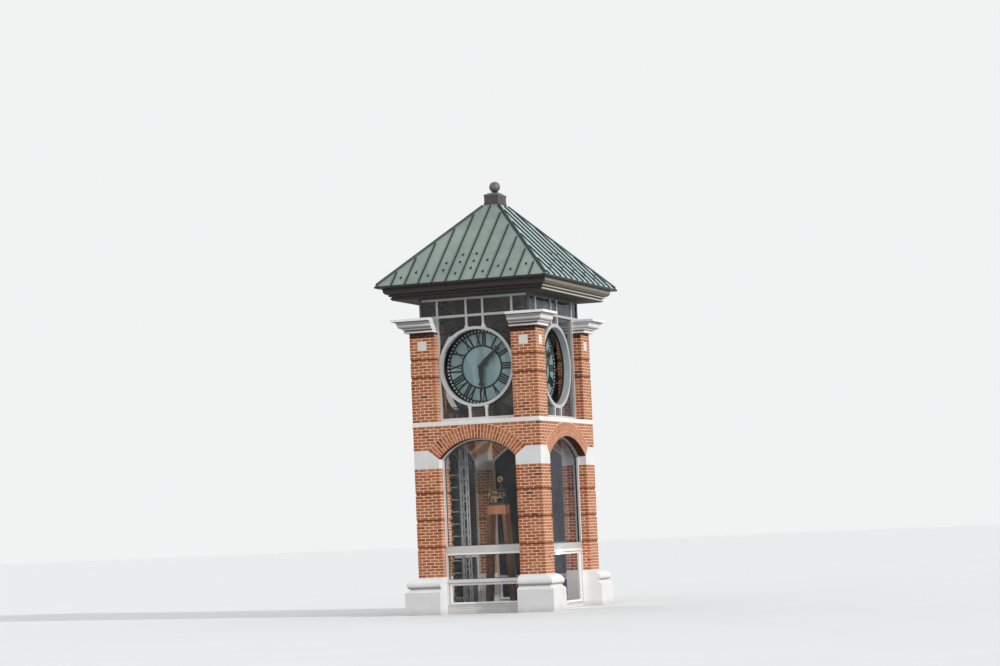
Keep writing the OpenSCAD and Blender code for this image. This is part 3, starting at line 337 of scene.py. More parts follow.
def fired_brick():
    f = Finish("fired_brick", Roughness=0.86, Specular_IOR_Level=0.25)
    tone = f.node("Attribute", {"attribute_name": "tone"}, out="Fac")
    body = f.ramp(tone, [
        (0.00, paint(90, 62, 52)), (0.03, paint(118, 68, 51)), (0.11, paint(150, 79, 55)),
        (0.35, paint(168, 93, 62)), (0.62, paint(181, 107, 73)), (0.86, paint(196, 126, 91)),
        (1.00, paint(168, 94, 68))])
    body = f.stain(body, paint(158, 90, 58), 0.4, f.grain(9.0, 5.0), 0.35, 0.75)
    body = f.stain(body, paint(96, 54, 44), 0.5, f.grain(160.0, 2.0), 0.62, 0.74)
    splash = 1 - f.band(f.height(), 0.83, 1.3)
    body = f.mix(splash * 0.18, body, paint(120, 96, 84))
    # Painted light: faces turned towards +x, the lit side, are paler.
    body = f.stain(body, paint(184, 146, 124), 0.18, f.facing(0), 0.3, 0.7)
    # Painted shade on the brick: lines over the recessed courses, the courses under the caps and under faces.
    f.set("Base Color", brick_painted_shade(f, body))
    f.relief(f.grain(220.0, 4.0) + f.grain(45.0, 3.0), 0.004, 0.6)
    return f


def lime_mortar():
    f = Finish("lime_mortar", Roughness=0.95, Specular_IOR_Level=0.1)
    # The mortar takes the same painted shade as the brick.
    f.set("Base Color", brick_painted_shade(f, f.mix(f.grain(30.0, 4.0), paint(236, 199, 165), paint(245, 212, 179))))
    f.relief(f.grain(300.0, 3.0), 0.003, 0.6)
    return f


# How much painted shade lies on a cap's bands, from its foot to its top.
MOULDING_SHADE = [(at, (soot, soot, soot, 1.0)) for at, soot in (
    (0.105, 0.0), (0.120, 1.0), (0.225, 1.0), (0.240, 0.0), (0.320, 0.0), (0.345, 0.75), (0.420, 0.35), (0.470, 0.0),
    (0.580, 0.0), (0.610, 0.80), (0.680, 0.45), (0.760, 0.30), (0.785, 1.0), (0.812, 1.0), (0.822, 0.0))]


def cast_stone(name, light, dark, dirt_and_shade, bands=None):
    """Cast stone, dirtier at its foot, with painted shade on under faces, in the plinths' necks and, where bands is
    given, on mouldings.
    """
    f = Finish(name, Roughness=0.8, Specular_IOR_Level=0.3)
    light, dark, dirt_and_shade = paint(*light), paint(*dark), paint(*dirt_and_shade)
    body = f.stain(light, dark, 1.0, f.grain(2.2, 6.0, 0.6), 0.3, 0.7)
    body = f.stain(body, dirt_and_shade, 0.35, f.grain(3.0, 5.0, 0.65, (7.0, 7.0, 0.6)), 0.56, 0.78)
    splash = 1 - f.band(f.height() + f.grain(5.0, 4.0) * 0.16, 0.05, 0.26)
    body = f.mix(splash * 0.55, body, dirt_and_shade)
    # Painted shade: a dark band in the plinths' necks, under the roll, kept off the jambs.
    off_jamb = f.band(f.size(f.across()), OPEN_X + 0.003, OPEN_X + 0.006) * f.band(
        f.size(f.depth()), OPEN_Y + 0.003, OPEN_Y + 0.006)
    neck = (1 - f.band(f.size(f.height() - NECK_Z), 0.012, 0.026)) * off_jamb
    body = f.mix(neck * 0.66, body, paint(104, 100, 96))
    # Painted shade: under faces are darker.
    body = f.stain(body, dirt_and_shade, 0.6, 0 - f.facing(2), 0.2, 0.9)
    if bands:
        # Painted shade on the mouldings, less on faces turned towards +x, the lit side.
        lit_side = f.band(f.facing(0), 0.1, 0.4) * 0.75
        body = f.mix(f.ramp(f.share(*bands), MOULDING_SHADE) * (1 - lit_side), body, paint(108, 105, 103))
    pit = f.band(f.grain(90.0, 2.0), 0.66, 0.74)
    f.set("Base Color", f.mix(pit * 0.35, body, paint(150, 146, 138)))
    f.relief(f.grain(260.0, 4.0) * 0.6 - pit * 0.8, 0.003, 0.5)
    return f


def frame_metal(name):
    """Drawn metal of the frames, which the caller colours."""
    f = Finish(name, Metallic=0.35, Specular_IOR_Level=0.5)
    f.set("Roughness", 0.36 + f.grain(14.0, 3.0) * 0.14)
    f.relief(f.grain(400.0, 2.0, 0.5, (1.0, 1.0, 0.05)), 0.0006, 0.3)
    return f


def shaded_metal(f):
    return f.mix(f.grain(3.0, 4.0), paint(186, 188, 188), paint(208, 209, 208))


def satin_aluminium():
    """Lower frames, with painted shade on the front's transom and a painted highlight on the lip under it."""
    f = frame_metal("satin_aluminium")
    body = f.mix(f.grain(3.0, 4.0), paint(200, 200, 198), paint(222, 222, 219))
    low, lip, high = FRONT_PANES[1][1], FRONT_PANES[1][1] + 0.038, FRONT_PANES[2][0]
    over_lip = f.band(f.height(), lip - 0.003, lip + 0.003)
    # Painted shade: the transom above the lip is greyer.
    transom = over_lip - f.band(f.height(), high, high + 0.004)
    body = f.mix(transom * 0.3, body, paint(178, 171, 170))
    # Painted highlight: the lip is bright.
    edge = f.band(f.height(), low - 0.03, low - 0.026) - over_lip
    f.set("Base Color", f.mix(edge * 0.8, body, paint(246, 245, 242)))
    return f


def window_glass(name, front, right, clear, clear_right):
    """Clear front and right panes, with painted reflections. Rear and left panes are painted shade, as if seen from
    inside.
    """
    f = Finish(name, Roughness=0.03, IOR=1.5)
    near, far = 0.42, 0.45
    behind = f.band(f.depth(), HALF_Y - far, HALF_Y - near)
    beside = 1 - f.band(f.across(), near - HALF_X, far - HALF_X)
    shut = f.larger(behind, beside)
    # Painted reflections: the front and right panes each have their own colour.
    right_panes = f.band(f.across(), HALF_X - far, HALF_X - near)
    light = f.mix(right_panes, paint(*front), paint(*right))
    # Painted reflections: tall patches where the pane is darker.
    reflection_patch = f.band(f.grain(2.6, 3.0, 0.55, (1.0, 1.0, 0.45)), 0.42, 0.62)
    pane = f.mix(reflection_patch, f.mix(0.55, light, paint(16, 15, 16)), light)
    # Painted shade: the rear and left panes are dark and nearly opaque.
    dark = f.stain(paint(24, 24, 26), paint(42, 42, 46), 1.0, f.grain(0.9, 3.0), 0.35, 0.65)
    f.set("Base Color", f.mix(shut, pane, dark))
    f.set("Alpha", clear + right_panes * (clear_right - clear) + shut * (0.90 - clear))
    return f


def opal_glass():
    f = Finish("opal_glass", Roughness=0.22, Coat_Weight=0.4, Coat_Roughness=0.08)
    body = f.mix(f.grain(1.4, 3.0), paint(122, 156, 158), paint(146, 177, 178))
    # Painted reflection: tall paler patches on the glass.
    painted_sheen = f.grain(2.4, 2.0, 0.5, (1.6, 1.6, 0.4))
    f.set("Base Color", f.stain(body, paint(184, 212, 212), 0.4, painted_sheen, 0.50, 0.62))
    return f


def enamel(name, dark, pale, rough):
    f = Finish(name, Specular_IOR_Level=0.5)
    f.set("Base Color", f.mix(f.grain(6.0, 4.0), paint(*dark), paint(*pale)))
    f.set("Roughness", rough + f.grain(25.0, 3.0) * 0.12)
    f.relief(f.grain(180.0, 2.0), 0.0008, 0.3)
    return f


def roof_metal():
    """Sage pans, paler and bluer with a painted reflection on the slopes that face the sides, over a dark edge."""
    f = Finish("roof_metal", Metallic=0.25, Specular_IOR_Level=0.45)
    pan = f.grain(1.1, 4.0, 0.6)
    body = f.stain(paint(125, 138, 132), paint(144, 157, 149), 1.0, pan, 0.3, 0.7)
    body = f.stain(body, paint(104, 114, 112), 0.4, f.grain(2.4, 5.0, 0.6, (5.0, 5.0, 0.8)), 0.58, 0.8)
    # Painted reflection: the slopes that face the sides are paler and bluer.
    blue = f.mix(pan, paint(166, 184, 184), paint(188, 206, 207))
    body = f.stain(body, blue, 1.0, f.size(f.facing(0)), 0.2, 0.5)
    f.set("Base Color", f.stain(paint(36, 42, 40), body, 1.0, f.height(), ROOF_EDGE_Z + 0.008, ROOF_EDGE_Z + 0.013))
    f.set("Roughness", 0.44 + f.grain(8.0, 3.0) * 0.16)
    f.relief(f.grain(2.6, 2.0, 0.5), 0.012, 0.35)
    return f


def weathered_metal(name, dark, pale, rough):
    f = Finish(name, Metallic=0.4, Specular_IOR_Level=0.5)
    f.set("Base Color", f.mix(f.grain(7.0, 5.0, 0.6), paint(*dark), paint(*pale)))
    f.set("Roughness", rough + f.grain(18.0, 3.0) * 0.2)
    f.relief(f.grain(60.0, 3.0), 0.001, 0.4)
    return f


def eaves_paint():
    """Bronze paint, dark, with painted light on the side that faces +x: tan, with painted highlights on its beads and
    painted shade in its grooves.
    """
    f = Finish("eaves_bronze", Metallic=0.3, Specular_IOR_Level=0.5)
    cloud = f.grain(5.0, 5.0, 0.6)
    shade = f.mix(cloud, paint(50, 45, 42), paint(62, 56, 52))
    # Painted light and shade band by band, from foot to top: pale beads, black grooves and a tan face.
    painted_light_side = f.ramp(f.share(foot("eaves_box"), top("eaves_box")), [
        (0.000, paint(212, 202, 182)), (0.110, paint(218, 208, 190)), (0.130, paint(15, 13, 11)),
        (0.225, paint(15, 13, 11)), (0.245, paint(206, 196, 174)), (0.350, paint(206, 196, 174)),
        (0.385, paint(50, 45, 36)), (0.500, paint(70, 63, 50)), (0.660, paint(98, 89, 73)),
        (0.780, paint(168, 157, 134)), (0.880, paint(190, 179, 156)), (0.940, paint(62, 57, 49)),
        (1.000, paint(34, 31, 28))])
    painted_light_side = f.mix(cloud * 0.15, painted_light_side, paint(96, 88, 76))
    f.set("Base Color", f.stain(shade, painted_light_side, 1.0, f.facing(0), 0.15, 0.5))
    f.set("Roughness", 0.34 + f.grain(18.0, 3.0) * 0.2)
    f.relief(f.grain(60.0, 3.0), 0.001, 0.4)
    return f


def lantern_metal():
    """Frame metal with painted shade: dark corners, where pane meets pane, and a dark head rail on the sides."""
    f = frame_metal("lantern_metal")
    half_x, half_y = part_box("lantern_frame")[1][:2]
    near_x = f.band(f.size(f.across()), half_x - 0.064, half_x - 0.060)
    near_y = f.band(f.size(f.depth()), half_y - 0.064, half_y - 0.060)
    low, high = foot("lantern_glass"), top("lantern_glass")
    level = f.band(f.height(), low - 0.004, low) * (1 - f.band(f.height(), high, high + 0.004))
    # Painted shadow: the head rail on the sides is darker.
    head = near_x * f.band(f.height(), high - 0.002, high + 0.002)
    # Painted shade: the corners are dark.
    body = f.mix(near_x * near_y * level, shaded_metal(f), paint(84, 89, 92))
    f.set("Base Color", f.mix(head, body, paint(74, 80, 84)))
    return f


def drum_metal(name, drum, wall, crosswise):
    """Frame metal with painted shade behind the glazing: round the bore, and at the rear and left within it too."""
    f = frame_metal(name)
    bore = top(drum) - DIAL_Z - wall
    out_of = (1.0, 0.0, 1.0) if crosswise else (0.0, 1.0, 1.0)
    flat = f.vector("MULTIPLY", f.vector("SUBTRACT", f.place(), (0.0, 0.0, DIAL_Z)), out_of)
    radius = f.vector("LENGTH", flat, out=1)
    glazing = (HALF_Y if crosswise else HALF_X) - FRAME_MIDDLE
    behind = 1 - f.band(f.size(f.depth() if crosswise else f.across()), glazing - 0.002, glazing)
    shut = f.band(f.depth(), 0.9, 1.0) if crosswise else 1 - f.band(f.across(), -1.0, -0.9)
    # Painted shade behind the glazing.
    drum_shade = f.larger(f.band(radius, bore + 0.003, bore + 0.005), shut) * behind
    f.set("Base Color", f.mix(drum_shade, shaded_metal(f), paint(70, 66, 64)))
    return f


def oiled_timber():
    """Brown timber, with painted shade on the legs under the beam."""
    f = Finish("oiled_timber", Roughness=0.5, Specular_IOR_Level=0.4)
    grain = f.grain(9.0, 6.0, 0.6, (1.0, 1.0, 0.08))
    body = f.stain(paint(112, 72, 48), paint(146, 100, 72), 1.0, grain, 0.3, 0.7)
    beam = f.band(f.height(), top("movement_stand") - 0.205, top("movement_stand") - 0.195)
    # Painted shade: the legs under the beam are darker.
    body = f.mix((1 - beam) * 0.72, body, paint(52, 35, 28))
    check = f.grain(60.0, 3.0, 0.6, (1.0, 1.0, 0.04))
    f.set("Base Color", f.stain(body, paint(84, 50, 34), 0.5, check, 0.6, 0.72))
    f.relief(check, 0.002, 0.5)
    return f


def polished_brass():
    f = Finish("polished_brass", Metallic=0.85, Specular_IOR_Level=0.5)
    # Two tones of brass, the paler partly a painted highlight; the near-white spots are painted glints.
    body = f.stain(paint(186, 124, 68), paint(240, 204, 138), 1.0, f.grain(13.0, 3.0), 0.42, 0.58)
    f.set("Base Color", f.stain(body, paint(252, 240, 214), 1.0, f.grain(31.0, 2.0), 0.56, 0.64))
    f.set("Roughness", 0.28 + f.grain(40.0, 3.0) * 0.16)
    return f


def striped_ladder():
    """Mill-finish ladder whose left rail carries a slanted warning stripe."""
    f = Finish("striped_ladder", Metallic=0.3, Specular_IOR_Level=0.5, Roughness=0.45)
    left_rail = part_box("ladder")[0][0]
    rail = 1 - f.band(f.across(), left_rail + 0.031, left_rail + 0.033)
    turn = (f.height() + f.across()) * (2 * math.pi / 0.16)
    stripe = f.band(f.node("Math", {"operation": "SINE"}, {0: turn}), -0.08, 0.08)
    tape = f.mix(stripe, paint(34, 32, 28), paint(214, 186, 96))
    mill = f.mix(f.grain(7.0, 4.0), paint(226, 234, 238), paint(242, 247, 249))
    f.set("Base Color", f.mix(rail, mill, tape))
    f.relief(f.grain(240.0, 2.0), 0.0008, 0.3)
    return f


def clothe(finish, *nodes):
    """Puts a finish on CAD nodes."""
    for node in nodes:
        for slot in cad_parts[node].material_slots:
            slot.material = finish.material


BRICK = fired_brick()
MORTAR = lime_mortar()
# Painted highlight: the beads are near-white, though they lie in shade.
BEAD_HIGHLIGHT = enamel("bead_highlight", (238, 237, 234), (247, 246, 244), 0.35)
KICK = enamel("kick_enamel", (216, 214, 208), (228, 226, 220), 0.4)
RUBBER = enamel("black_gasket", (30, 31, 32), (40, 41, 42), 0.6)
HEM = weathered_metal("hem_metal", (44, 52, 50), (56, 64, 61), 0.5)
MINUTE_OPAL = enamel("minute_opal", (180, 198, 195), (200, 214, 210), 0.25)
# Painted shade in the strips beside the seams, and the snow stops' own dark paint.
SEAM_SHADE_AND_GUARDS = weathered_metal("seam_shade_and_guards", (36, 44, 42), (46, 55, 52), 0.6)

ALUMINIUM = satin_aluminium()
DIAL_BLACK = enamel("dial_black", (20, 22, 24), (32, 32, 34), 0.4)
HAND_BLACK = enamel("hand_black", (40, 32, 31), (54, 44, 42), 0.35)
DRUM_METAL = (drum_metal("drum_metal_front", "drum_front", DRUM_WALL[0], True),
              drum_metal("drum_metal_side", "drum_right", DRUM_WALL[1], False))

for index, side in enumerate(FACES):
    clothe(ALUMINIUM, "lower_frame_" + side, "upper_frame_" + side)
    clothe(DRUM_METAL[index % 2], "drum_" + side)
    clothe(DIAL_BLACK, "dial_" + side)
    clothe(HAND_BLACK, "minute_hand_" + side, "hour_hand_" + side)
clothe(cast_stone("cast_stone", (234, 232, 231), (224, 223, 222), (184, 181, 176)), "plinths", "imposts")
# Painted light: the belt is a paler copy of the cast stone, for a face that catches more light.
clothe(cast_stone("belt_stone", (242, 238, 234), (233, 229, 225), (206, 198, 188)), "belt_course")
# The caps take painted shade on their mouldings.
clothe(cast_stone("cap_stone", (247, 246, 244), (240, 239, 237), (196, 192, 188), (CAP_Z, LANTERN_Z)), "pier_caps")
clothe(cast_stone("white_stone", (230, 228, 226), (220, 218, 215), (196, 192, 186)), "inset_stones")
clothe(cast_stone("floor_concrete", (156, 154, 148), (140, 138, 132), (120, 116, 110)), "floor_slab")
# The two colours of each glass are painted reflections on its front and right panes.
clothe(window_glass("lower_glass", (92, 100, 99), (40, 47, 68), 0.16, 0.26), "lower_glass")
clothe(window_glass("upper_glass", (84, 77, 73), (104, 112, 120), 0.42, 0.30), "upper_glass", "side_glass")
clothe(window_glass("lantern_glass", (98, 88, 84), (108, 120, 134), 0.42, 0.36), "lantern_glass")
clothe(opal_glass(), "dial_glass")
clothe(weathered_metal("bridge_steel", (120, 122, 122), (146, 148, 148), 0.4), "dial_bridges")
clothe(lantern_metal(), "lantern_frame")
clothe(enamel("soffit_paint", (40, 35, 30), (51, 45, 39), 0.75), "soffit")
clothe(eaves_paint(), "eaves_box")
clothe(roof_metal(), "roof_deck")
# Painted shade: the seams are darker than the pans.
clothe(weathered_metal("seam_painted_shade", (46, 56, 54), (60, 71, 68), 0.5), "roof_seams")
clothe(weathered_metal("hip_metal", (46, 58, 56), (58, 71, 68), 0.5), "hip_caps")
clothe(weathered_metal("vent_brown", (74, 67, 64), (92, 85, 82), 0.42), "vent_box")
clothe(weathered_metal("lid_metal", (88, 92, 92), (108, 112, 112), 0.42), "vent_lid")
clothe(weathered_metal("ball_grey", (92, 87, 83), (128, 122, 117), 0.42), "ball")
clothe(oiled_timber(), "movement_stand")
clothe(weathered_metal("movement_iron", (52, 58, 50), (70, 76, 66), 0.42), "movement_frame")
clothe(polished_brass(), "movement_train")
clothe(striped_ladder(), "ladder")
clothe(weathered_metal("galvanised_lattice", (200, 208, 212), (226, 232, 234), 0.38), "lattice_mast")


# Outlines on walls, and the solids made of them.
class Wall:
    """A flat side: u runs to the right as seen from outside, z up, and deep inward."""

    def __init__(self, origin, along, outward):
        self.origin = Vector(origin)
        self.along = Vector(along)
        self.outward = Vector(outward)

    def at(self, u, deep, z):
        p = self.origin + self.along * u - self.outward * deep
        return (p.x, p.y, z)


def four_walls(x0, x1, y0, y1):
    return (Wall((x0, y0, 0), (1, 0, 0), (0, -1, 0)), Wall((x1, y0, 0), (0, 1, 0), (1, 0, 0)),
            Wall((x1, y1, 0), (-1, 0, 0), (0, 1, 0)), Wall((x0, y1, 0), (0, -1, 0), (-1, 0, 0)))


WALLS = four_walls(-HALF_X, HALF_X, -HALF_Y, HALF_Y)
# Each face with its wall, half the width of its openings and the middle of its wall.
SIDES = [(face, WALLS[k], (OPEN_X, OPEN_Y)[k % 2], (HALF_X, HALF_Y)[k % 2]) for k, face in enumerate(FACES)]


def box_outline(u0, u1, z0, z1):
    return [(u0, z0), (u1, z0), (u1, z1), (u0, z1)]


def area(outline):
    return 0.5 * sum(a[0] * b[1] - b[0] * a[1] for a, b in zip(outline, outline[1:] + outline[:1]))


def shrink(outline, by):
    """Draws a convex outline in by the same amount on every side."""
    lines = []
    for (ax, az), (bx, bz) in zip(outline, outline[1:] + outline[:1]):
        size = math.hypot(bx - ax, bz - az) or 1e-9
        nx, nz = -(bz - az) / size, (bx - ax) / size
        lines.append((nx, nz, nx * ax + nz * az + by))
    made = []
    for k, point in enumerate(outline):
        (a, b, c), (d, e, f) = lines[k - 1], lines[k]
        det = a * e - b * d
        made.append(point if abs(det) < 1e-6 else ((c * e - b * f) / det, (a * f - c * d) / det))
    return made


def apart(p, q):
    return math.hypot(p[0] - q[0], p[1] - q[1]) > SAME_POINT


def keep_side(outline, nx, nz, c):
    """The part of a convex outline where nx * u + nz * z is at least c."""
    made = []
    for p, q in zip(outline, outline[1:] + outline[:1]):
        dp, dq = nx * p[0] + nz * p[1] - c, nx * q[0] + nz * q[1] - c
        if dp >= 0:
            made.append(p)
        if dp * dq < 0:
            t = dp / (dp - dq)
            made.append((p[0] + t * (q[0] - p[0]), p[1] + t * (q[1] - p[1])))
    clean = []
    for p in made:
        if not clean or apart(p, clean[-1]):
            clean.append(p)
    if len(clean) > 1 and not apart(clean[0], clean[-1]):
        clean.pop()
    return clean


def loft(rings, closed=False, inside_out=False):
    """A skin over rings of points, with shut ends unless the last ring joins the first: its points and its faces."""
    n, count = len(rings[0]), len(rings)
    faces = []
    for ring in range(count if closed else count - 1):
        a, b = n * ring, n * ((ring + 1) % count)
        faces += [(a + (k + 1) % n, a + k, b + k, b + (k + 1) % n) for k in range(n)]
    if not closed:
        faces += [tuple(range(n)), tuple(n * count - 1 - k for k in range(n))]
    if inside_out:
        faces = [face[::-1] for face in faces]
    return [point for ring in rings for point in ring], faces


def eased(wall, outline, near, far, edge):
    """An outline on a wall made solid from depth near to depth far, with an eased front edge."""
    steps = ((shrink(outline, edge), near), (outline, near + edge), (outline, far))
    return loft([[wall.at(u, deep, z) for u, z in shape] for shape, deep in steps])


def section(wall, first, second, near, far):
    """A cut through a strip on a wall, between two points of its face and two depths."""
    return [wall.at(p[0], deep, p[1]) for p, deep in ((first, near), (second, near), (second, far), (first, far))]


def new_object(name, points, faces, *finishes):
    mesh = bpy.data.meshes.new(name)
    mesh.from_pydata(points, [], faces)
    for finish in finishes:
        mesh.materials.append(finish.material)
    mesh.update()
    made = bpy.data.objects.new(name, mesh)
    bpy.context.scene.collection.objects.link(made)
    return made


# Masonry.
class Masonry:
    """Gathers bricks and mortar into one mesh. Material 0 is brick and 1 mortar."""

    def __init__(self, seed):
        self.points = []
        self.faces = []
        self.kinds = []
        self.tones = []
        self.dice = random.Random(seed)

    def add(self, points, faces, kind):
        start = len(self.points)
        tone = min(1.0, max(0.0, self.dice.gauss(TONE, TONE_SPREAD)))
        self.points += points
        self.faces += [[start + k for k in face] for face in faces]
        self.kinds += [kind] * len(faces)
        self.tones += [tone] * len(faces)

    def block(self, x0, y0, z0, x1, y1, z1):
        """A plain block of mortar."""
        rings = [[(x0, y0, z), (x1, y0, z), (x1, y1, z), (x0, y1, z)] for z in (z0, z1)]
        self.add(*loft(rings, inside_out=True), 1)

    def brick(self, wall, outline, near, far):
        """A brick whose outline is drawn on a wall, from depth near to depth far, with a worn front edge."""
        if len(outline) > 2 and area(outline) >= LEAST_FACE:
            self.add(*eased(wall, outline, near, far, WORN_EDGE), 0)

    def piece(self, name, *nodes):
        made = new_object(name, self.points, self.faces, BRICK, MORTAR)
        made.data.polygons.foreach_set("material_index", self.kinds)
        tone = made.data.attributes.new("tone", "FLOAT", "FACE")
        tone.data.foreach_set("value", self.tones)
        made.data.update()
        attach(made, TOWER)
        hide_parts(*nodes)


def course_bricks(width, count, long):
    """Spans of the bricks of one course on a wall. A long course owns its corners; its ends count as corner bricks."""
    module = width / count
    if long:
        edges = [k * module for k in range(count)] + [width]
    else:
        start = BRICK_DEEP + HEAD_JOINT
        edges = [start] + [(k + 0.5) * module for k in range(1, count - 1)] + [width - start]
    gaps = [0] + [HEAD_JOINT / 2] * (len(edges) - 2) + [0]
    return [(a + before, b - after) for a, b, before, after in zip(edges, edges[1:], gaps, gaps[1:])]


def around_inset(a, b, z0, z1):
    """A brick's outline, split round the inset stone in the middle of a pier's face if it meets it."""
    u0, u1 = PIER / 2 - INSET / 2, PIER / 2 + INSET / 2
    spans = [(a, b)]
    if z1 > INSET_Z and z0 < INSET_Z + INSET and b > u0 and a < u1:
        left, right = (a, u0 - INSET_JOINT), (u1 + INSET_JOINT, b)
        spans = [left] * (u0 - a > SLIVER) + [right] * (b - u1 > SLIVER)
    return [box_outline(p, q, z0, z1) for p, q in spans]


def pier_bricks(masonry, base, courses, recessed):
    """Lays the four corner piers course by course, with recessed courses set back all round."""
    for sx, sy in CORNERS:
        x0, x1 = sorted((sx * OPEN_X, sx * HALF_X))
        y0, y1 = sorted((sy * OPEN_Y, sy * HALF_Y))
        for c in range(courses):
            back = RECESS if c + 1 in recessed else 0.0
            z0, z1 = base + c * COURSE, base + (c + 1) * COURSE
            for w, wall in enumerate(four_walls(x0 + back, x1 - back, y0 + back, y1 - back)):
                outer = wall.outward.x * sx + wall.outward.y * sy > 0
                for a, b in course_bricks(PIER - 2 * back, PIER_BRICKS, (w + c) % 2 == 0):
                    low, high = z0 + JOINT / 2, z1 - JOINT / 2
                    for shape in around_inset(a, b, low, high) if outer else [box_outline(a, b, low, high)]:
                        masonry.brick(wall, shape, 0.0, BRICK_DEEP)
            s = SUNK + back
            masonry.block(x0 + s, y0 + s, z0, x1 - s, y1 - s, z1)


def lower_pier_brickwork():
    m = Masonry(11)
    pier_bricks(m, PLINTH_TOP, LOWER_COURSES, LOWER_RECESSED)
    m.piece("lower_pier_brickwork", "lower_piers")


def upper_pier_brickwork():
    m = Masonry(12)
    pier_bricks(m, UPPER_Z, UPPER_COURSES, UPPER_RECESSED)
    m.piece("upper_pier_brickwork", "upper_piers")


def arch_radius(half):
    return (half * half + RISE * RISE) / (2 * RISE)


def arch_centre(half):
    return SPRING_Z + RISE - arch_radius(half)


class Arch:
    """The arch of a wall: its middle, inner and outer radius, centre, springing angle and span."""

    def __init__(self, index):
        half = (OPEN_X, OPEN_Y)[index % 2]
        self.middle = (HALF_X, HALF_Y)[index % 2]
        self.width = 2 * self.middle
        self.radius = arch_radius(half)
        self.back = self.radius + RING_DEEP
        self.centre = arch_centre(half)
        self.lean = math.atan2(SPRING_Z - self.centre, half)
        self.span = math.pi - 2 * self.lean

    def at(self, radius, angle):
        return (self.middle + radius * math.cos(angle), self.centre + radius * math.sin(angle))


def beside_arch(arch, a, b, z0, z1):
    """A brick's outline, cut along the arch's back or its skewback."""
    shape = box_outline(a, b, z0, z1)
    u, z = (a + b) / 2 - arch.middle, (z0 + z1) / 2 - arch.centre
    if math.atan2(z, abs(u)) > arch.lean:
        far = math.hypot(u, z)
        nx, nz = u / far, z / far
        return keep_side(shape, nx, nz, arch.back + JOINT + nx * arch.middle + nz * arch.centre)
    if abs(u) + SKEW_REACH < (arch.back + SKEW_SLACK) * math.cos(arch.lean):
        nx, nz = math.copysign(math.sin(arch.lean), u), -math.cos(arch.lean)
        return keep_side(shape, nx, nz, JOINT / 2 + nx * arch.middle + nz * arch.centre)
    return shape


def spandrel_mortar(wall, arch, side, sunk, end):
    """Mortar behind the bricks at one side of an arch, whose edge follows the arch's back."""
    low, high = IMPOST_TOP + GAP / 2, BELT_Z - GAP / 2
    rings = []
    for k in range(SPANDREL_STEPS + 1):
        z = low + (high - low) * k / SPANDREL_STEPS
        over = z - arch.centre
        if over < arch.back * math.sin(arch.lean):
            u = over / math.tan(arch.lean)
        else:
            u = math.sqrt(max(0.0, arch.back ** 2 - over ** 2))
        inner, outer = (arch.middle + side * (u + GAP), z), (arch.middle + side * end, z)
        rings.append(section(wall, inner, outer, sunk, WALL - GAP))
    return loft(rings, inside_out=side > 0)


def spandrel_brickwork():
    m = Masonry(13)
    for w, wall in enumerate(WALLS):
        arch = Arch(w)
        for c in range(SPANDREL_COURSES):
            z0, z1 = IMPOST_TOP + c * COURSE + JOINT / 2, IMPOST_TOP + (c + 1) * COURSE - JOINT / 2
            long = (w + c) % 2 == 0
            for a, b in course_bricks(arch.width, WALL_BRICKS[w % 2], long):
                m.brick(wall, beside_arch(arch, a, b, z0, z1), 0.0, BRICK_DEEP if long else CLOSER_DEEP)
        end = arch.middle - (SUNK, WALL / 2)[w % 2]
        for side in (-1, 1):
            m.add(*spandrel_mortar(wall, arch, side, SUNK + STAGGER * (w % 2), end), 1)
    for sx, sy in CORNERS:
        x0, x1 = sorted((sx * OPEN_X, sx * (HALF_X - WALL)))
        y0, y1 = sorted((sy * OPEN_Y, sy * (HALF_Y - WALL)))
        m.block(x0, y0, IMPOST_TOP + GAP / 2, x1, y1, BELT_Z - GAP / 2)
    m.piece("spandrel_brickwork", "spandrels")


def voussoir(arch, r0, r1, a0, a1):
    """The outline of a voussoir between two radii and two angles, cut off under the belt course."""
    s0, s1 = JOINT / 2 / r0, JOINT / 2 / r1
    shape = [arch.at(r0, a0 + s0), arch.at(r1, a0 + s1), arch.at(r1, a1 - s1), arch.at(r0, a1 - s0)]
    return keep_side(shape, 0, -1, -(BELT_Z - 3 * GAP))


def arch_mortar(wall, arch):
    rings = []
    for k in range(ARCH_STEPS + 1):
        angle = arch.lean + arch.span * k / ARCH_STEPS
        ends = [arch.at(r, angle) for r in (arch.radius + SUNK, arch.back - GAP)]
        inner, outer = [(u, min(z, BELT_Z - GAP)) for u, z in ends]
        rings.append(section(wall, inner, outer, SUNK, WALL - SUNK))
    return loft(rings, inside_out=True)


def arch_brickwork():
    """Voussoirs a brick and a half deep, bonded: a long brick below a short one, then the other way round."""
    m = Masonry(14)
    for w, wall in enumerate(WALLS):
        arch = Arch(w)
        count = int(round(arch.span * arch.radius / COURSE)) | 1
        for k in range(count):
            a0, a1 = arch.lean + arch.span * k / count, arch.lean + arch.span * (k + 1) / count
            joint = arch.radius + VOUSSOIRS[k % 2]
            ends = ((arch.radius, joint - ARCH_JOINT / 2), (joint + ARCH_JOINT / 2, arch.back))
            for row, (r0, r1) in enumerate(ends):
                shape = voussoir(arch, r0, r1, a0, a1)
                split = VOUSSOIRS_IN[(k + row) % 2]
                m.brick(wall, shape, 0.0, split - JOINT / 2)
                m.brick(wall, shape, split + JOINT / 2, WALL)
        m.add(*arch_mortar(wall, arch), 1)
    m.piece("arch_brickwork", "arches")


lower_pier_brickwork()
upper_pier_brickwork()
spandrel_brickwork()
arch_brickwork()


